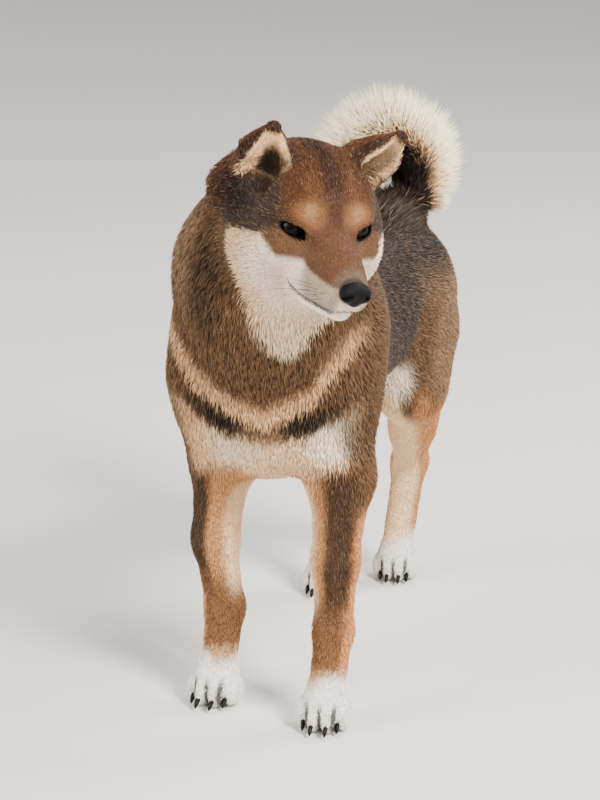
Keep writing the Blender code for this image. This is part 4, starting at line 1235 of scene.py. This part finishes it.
def finished(thing, material, shift, nodes=()):
    """Dresses a piece, moves it to where the solids stand and ties it to the dog's body."""
    thing.data.materials.clear()
    thing.data.materials.append(material)
    thing.location = shift
    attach(thing, "root")
    if nodes:
        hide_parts(*nodes)
    return thing


def unwrap(thing):
    """Gives the skin a bake map of its own shape."""
    thing.data.uv_layers.new(name="OFBake")
    bpy.context.view_layer.objects.active = thing
    for other in bpy.context.view_layer.objects:
        other.select_set(other is thing)
    bpy.ops.object.mode_set(mode="EDIT")
    bpy.ops.mesh.select_all(action="SELECT")
    bpy.ops.uv.smart_project(angle_limit=math.radians(80), island_margin=0.002)
    bpy.ops.object.mode_set(mode="OBJECT")


def coat(skin_object, skin, mouth):
    """The tufts of the body, head and legs, in pieces."""
    roots, places = rooted(skin_object, skin, mouth, TUFTS)
    normals = outward(skin, roots)
    ways = lie(roots, normals)
    length, width, lift, _ = tuft_sizes(roots)
    count = len(roots)
    length = length * draw.uniform(0.80, 1.12, count)
    width = width * draw.uniform(0.8, 1.2, count)
    lift = lift * draw.uniform(0.6, 1.25, count)
    stray = draw.normal(0, 0.13, (count, 3))
    ways = unit(ways + stray - (stray * normals).sum(1)[:, None] * normals)
    soft = np.minimum(0.0022, length * 0.16)[:, None]
    paint = markings(roots + draw.normal(0, 1, (count, 3)) * soft, normals)
    paint.lay(BLACK, 0.95 * ramp(0.0054, 0.0036, gap_to(roots, mouth)))
    bright = draw.uniform(0.84, 1.16, count)[:, None]
    tips = paint.ground + (paint.tips - paint.ground) * draw.uniform(-0.6, 1.3, count)[:, None]
    salt = SALT * draw.random(count) * (draw.random(count) < SALT_ODDS)
    salt *= ramp(0.16, 0.06, paint.ground.mean(1))
    tips = tips + (FAWN - tips) * salt[:, None]
    colours = paint.ground * bright, tips * bright
    ahead = to_head(roots)[:, 1] < 0.01
    # What is ahead of the head's middle comes first, and the rest follows from front to rear.
    order = np.argsort(np.round(roots[:, 1] - 2 * ahead, 2), kind="stable")
    pieces = np.array_split(order, math.ceil(count / MOST_TUFTS))
    for number, part in enumerate(pieces, start=1):
        sizes = length[part], width[part], lift[part]
        paints = colours[0][part], colours[1][part]
        yield tufts(f"coat_{number}", roots[part], normals[part], ways[part], sizes, paints, places[part])


def tail_hair(skin_object):
    """The tail's long hair, fanned out from its core and longest outside the curl."""
    count = TAIL_HAIRS
    share = draw.uniform(TAIL_ROOT + 0.02, 1.0, count)
    turn = draw.uniform(-math.pi, math.pi, count)
    table = np.linspace(0, 1.02, 103)
    line = np.array([tail_point(min(value, 1.0)) for value in table])
    run = unit(np.gradient(line, axis=0))

    def at_share(values):
        return np.stack([np.interp(share, table, column) for column in values.T], 1)

    at, along = at_share(line), unit(at_share(run))
    outer = at - CURL_MIDDLE
    outer = unit(outer - (outer * along).sum(1)[:, None] * along)
    side = np.cross(along, outer)
    away = np.cos(turn)[:, None] * outer + np.sin(turn)[:, None] * side
    outside = 0.5 + 0.5 * np.cos(turn)
    roots = at + away * (tail_radius(share) * 0.78)[:, None]
    length = 0.020 + 0.020 * outside * ramp(0.15, 0.50, share)
    length += 0.012 * ramp(0.60, 0.35, share) * (1 - outside)
    length *= draw.uniform(0.72, 1.06, count)
    lean = 0.35 + 0.8 * (1 - outside) + draw.normal(0, 0.16, count)
    ways = unit(away + along * lean[:, None] + draw.normal(0, 0.10, (count, 3)))
    flat = unit(np.cross(np.cross(ways, away + 0.3 * draw.normal(0, 1, (count, 3))), ways))
    paint = Paint(count, DARK_BROWN, BLACK)
    tail_markings(paint, outside * ramp(0.10, 0.26, share) + draw.normal(0, 0.05, count))
    bright = draw.uniform(0.85, 1.12, count)[:, None]
    width = draw.uniform(0.0009, 0.0015, count)
    sizes = length, width, np.full(count, 0.05)
    colours = paint.ground * bright, paint.tips * bright
    return tufts("tail_hair", roots, flat, ways, sizes, colours, nearest_places(skin_object, roots))


def nose_pad():
    """The bare nose with its nostrils and the groove between them."""
    pad = Form(HEAD_TURN, HEAD_AT)
    x, y, z = NOSE_AT
    pad.ball((x, y + 0.001, z + 0.002), (0.0105, 0.0070, 0.0070), 0.004)
    for side in (-1, 1):
        pad.ball((side * 0.0066, y + 0.0005, z - 0.0005), (0.0058, 0.0068, 0.0062), 0.004)
    pad.ball((x, y + 0.0015, z - 0.0055), (0.0050, 0.0055, 0.0050), 0.004)
    for side in (-1, 1):
        pad.ball((side * 0.0066, y - 0.0065, z - 0.0008), (0.0026, 0.0030, 0.0022), 0.001, carve=True)
        pad.ball((side * 0.0102, y - 0.0040, z - 0.0022), (0.0030, 0.0030, 0.0012), 0.001, carve=True)
    pad.limb((x, y - 0.0072, z + 0.001), (x, y - 0.0050, z - 0.009), 0.0005, 0.0005, 0.0008, carve=True)
    middle = in_head(NOSE_AT)
    return shell("nose", pad, middle - 0.018, middle + 0.018, NOSE_STEP, NOSE_KEPT)


def eye_ball(side):
    """An eye with its pupil and dark iris, looking ahead and a little outwards."""
    shape = bmesh.new()
    bmesh.ops.create_uvsphere(shape, u_segments=48, v_segments=32, radius=EYE_R - 0.0001)
    gaze = HEAD_TURN @ unit((side * 0.40, -0.92, 0.0))
    turn = Vector(gaze).to_track_quat("Z", "Y").to_matrix().to_4x4()
    at = in_head(mirrored(EYE_AT, side))
    bmesh.ops.transform(shape, matrix=Matrix.Translation(Vector(at)) @ turn, verts=shape.verts)
    thing = smooth_object("eye_ball_left" if side > 0 else "eye_ball_right", shape)
    points = read(thing.data.vertices, "co", 3)
    angle = np.degrees(np.arccos(np.clip(unit(points - at) @ gaze, -1, 1)))[:, None]
    iris = EYE_BROWN + (EYE_BROWN * 0.4 - EYE_BROWN) * ramp(26, 40, angle)
    colour = PUPIL + (iris - PUPIL) * ramp(20, 24, angle)
    set_colour(thing, colour + (PUPIL - colour) * ramp(42, 48, angle))
    return thing


def claw(form, leg, number, turn, small, place):
    """One claw, its root in its toe."""
    ahead = turn @ np.array([0.0, -1.0, 0.0])
    down = np.array([0.0, 0.0, -1.0])
    front = on_surface(form, place + ahead * 0.012 * small - down * 0.0075)
    root = front - ahead * CLAW_LINE[1][0] * 0.8
    corners = [root + ahead * forward + down * drop for forward, drop in CLAW_LINE]
    path = smooth_curve(corners, 13)
    radii = np.interp(np.linspace(0, 3, 13), range(4), CLAW_RADII)
    points, faces = tube(path, radii, 14, 0.85)
    points[:, 2] = np.maximum(points[:, 2], FLOOR_GAP)
    return object_of(f"claw_cover_{leg}_{number}", points, faces)


def whiskers():
    """Long stiff hairs on each side of the muzzle, swept back."""
    things = []
    for side in (-1, 1):
        for row, step in itertools.product(range(2), range(3)):
            root = np.array((side * (0.0190 + 0.0012 * step), -0.112 + 0.009 * step, -0.026 - 0.0045 * row))
            out = unit((side * 0.85, 0.30 + 0.10 * step, 0.06 - 0.22 * row))
            length = 0.026 + 0.008 * step + 0.004 * row
            corners = [root, root + out * length * 0.5,
                       root + out * length * 0.9 + np.array((0, 0.25, -0.18)) * length]
            path = [in_head(point) for point in smooth_curve(corners, 9)]
            things.append(object_of("whisker", *tube(path, np.linspace(0.00022, 0.00006, 9), 5)))
    return joined("whiskers", things)


def pale_floor():
    """The pale floor that the dog stands on."""
    corners = [(x * FLOOR_REACH, y * FLOOR_REACH, 0) for x, y in ((-1, -1), (1, -1), (1, 1), (-1, 1))]
    mesh = bpy.data.meshes.new("floor")
    mesh.from_pydata(corners, [], [(0, 1, 2, 3)])
    floor = linked("floor", mesh)
    material, shader = material_of("floor", 0.8, 0.2)
    shader.inputs["Base Color"].default_value = FLOOR_GREY
    floor.data.materials.append(material)
    floor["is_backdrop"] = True


def studio():
    """Pale surroundings and soft lights."""
    world = bpy.data.worlds.new("studio")
    world.use_nodes = True
    sky = world.node_tree.nodes["Background"]
    sky.inputs["Color"].default_value = WORLD_WHITE
    sky.inputs["Strength"].default_value = WORLD_STRENGTH
    bpy.context.scene.world = world
    for name, (place, size, power, colour) in LIGHTS.items():
        light = bpy.data.lights.new(name, "AREA")
        light.size, light.energy, light.color = size, power, colour
        thing = linked(name, light)
        thing.location = place
        thing.rotation_euler = (Vector(LIT) - Vector(place)).to_track_quat("-Z", "Y").to_euler()


def camera(shift):
    """The photo's view."""
    ahead = np.array([0.0, math.cos(CAMERA_PITCH), -math.sin(CAMERA_PITCH)])
    over = np.array([0.0, math.sin(CAMERA_PITCH), math.cos(CAMERA_PITCH)])
    right = np.array([1.0, 0.0, 0.0])
    rolled = right * math.cos(CAMERA_ROLL) + over * math.sin(CAMERA_ROLL)
    over = over * math.cos(CAMERA_ROLL) - right * math.sin(CAMERA_ROLL)
    yaw = np.array(Matrix.Rotation(CAMERA_YAW, 3, "Z"))
    matrix = Matrix((yaw @ np.stack([rolled, over, -ahead], 1)).tolist()).to_4x4()
    matrix.translation = Vector(CAMERA_AT) + Vector(shift)
    data = bpy.data.cameras.new("camera")
    data.lens, data.sensor_width = CAMERA_LENS, CAMERA_SENSOR
    thing = linked("camera", data)
    thing.matrix_world = matrix
    bpy.context.scene.camera = thing


def paint_skin(skin_object, mouth):
    """Colours the skin as the fur on it, a little darker, and black round the lids, nose and lips."""
    vertices = skin_object.data.vertices
    points = read(vertices, "co", 3)
    paint = markings(points, read(vertices, "normal", 3))
    colour = (paint.ground + (paint.tips - paint.ground) * 0.35) * 0.8
    local = to_head(points)
    bare = ramp(0.0026, 0.0014, gap_to(points, mouth))
    for side in (-1, 1):
        bare = np.maximum(bare, ramp(1.32, 1.12, from_slit(local, side)))
    bare = np.maximum(bare, ramp(0.0150, 0.0125, distance_to(local, NOSE_AT)) * 0.7)
    set_colour(skin_object, colour + (BLACK - colour) * bare[:, None])


def main():
    for thing in list(bpy.data.objects):
        bpy.data.objects.remove(thing)
    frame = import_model()
    cad_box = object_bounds()
    low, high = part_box("eye_left")
    shift = np.array((low + high) / 2) - in_head(EYE_AT)

    form = shiba()
    mouth = mouth_line()
    skin = Skin(form, mouth)
    skin_object = skin_mesh(skin)
    unwrap(skin_object)
    paint_skin(skin_object, mouth)

    fur = fur_material()
    others = ("claw_", "eye_", "nose", "tail_")
    flesh = [name for name in frame["nodes"] if not name.startswith(others)]
    finished(skin_object, fur, shift, flesh)
    for piece in coat(skin_object, skin, mouth):
        finished(piece, fur, shift)
    hair = tail_hair(skin_object)
    finished(hair, fur, shift, ("tail_base", "tail_middle", "tail_tip"))

    eye = coloured_material("eye", 0.05, 0.08)
    for side, name in ((1, "eye_left"), (-1, "eye_right")):
        finished(eye_ball(side), eye, shift, (name,))
    nose = pebbled_material("nose_leather", NOSE_BLACK, 0.42, 1300, 0.0002, 0.10)
    finished(nose_pad(), nose, shift, ("nose",))
    horn = pebbled_material("horn", HORN, 0.35, 500, 0.0001, 0.15)
    for leg in FEET:
        for number, (turn, small, place) in enumerate(toe_places(leg), start=1):
            made = claw(form, leg, number, turn, small, place)
            finished(made, horn, shift, (f"claw_{leg}_{number}",))
    whisker = pebbled_material("whisker", WHISKER, 0.5, 900, 0.0001, 0.4)
    finished(whiskers(), whisker, shift)

    pale_floor()
    studio()
    camera(shift)
    boxes = {"cad": cad_box, "visual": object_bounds()}
    {key: [list(corner) for corner in box] for key, box in boxes.items()}


main()
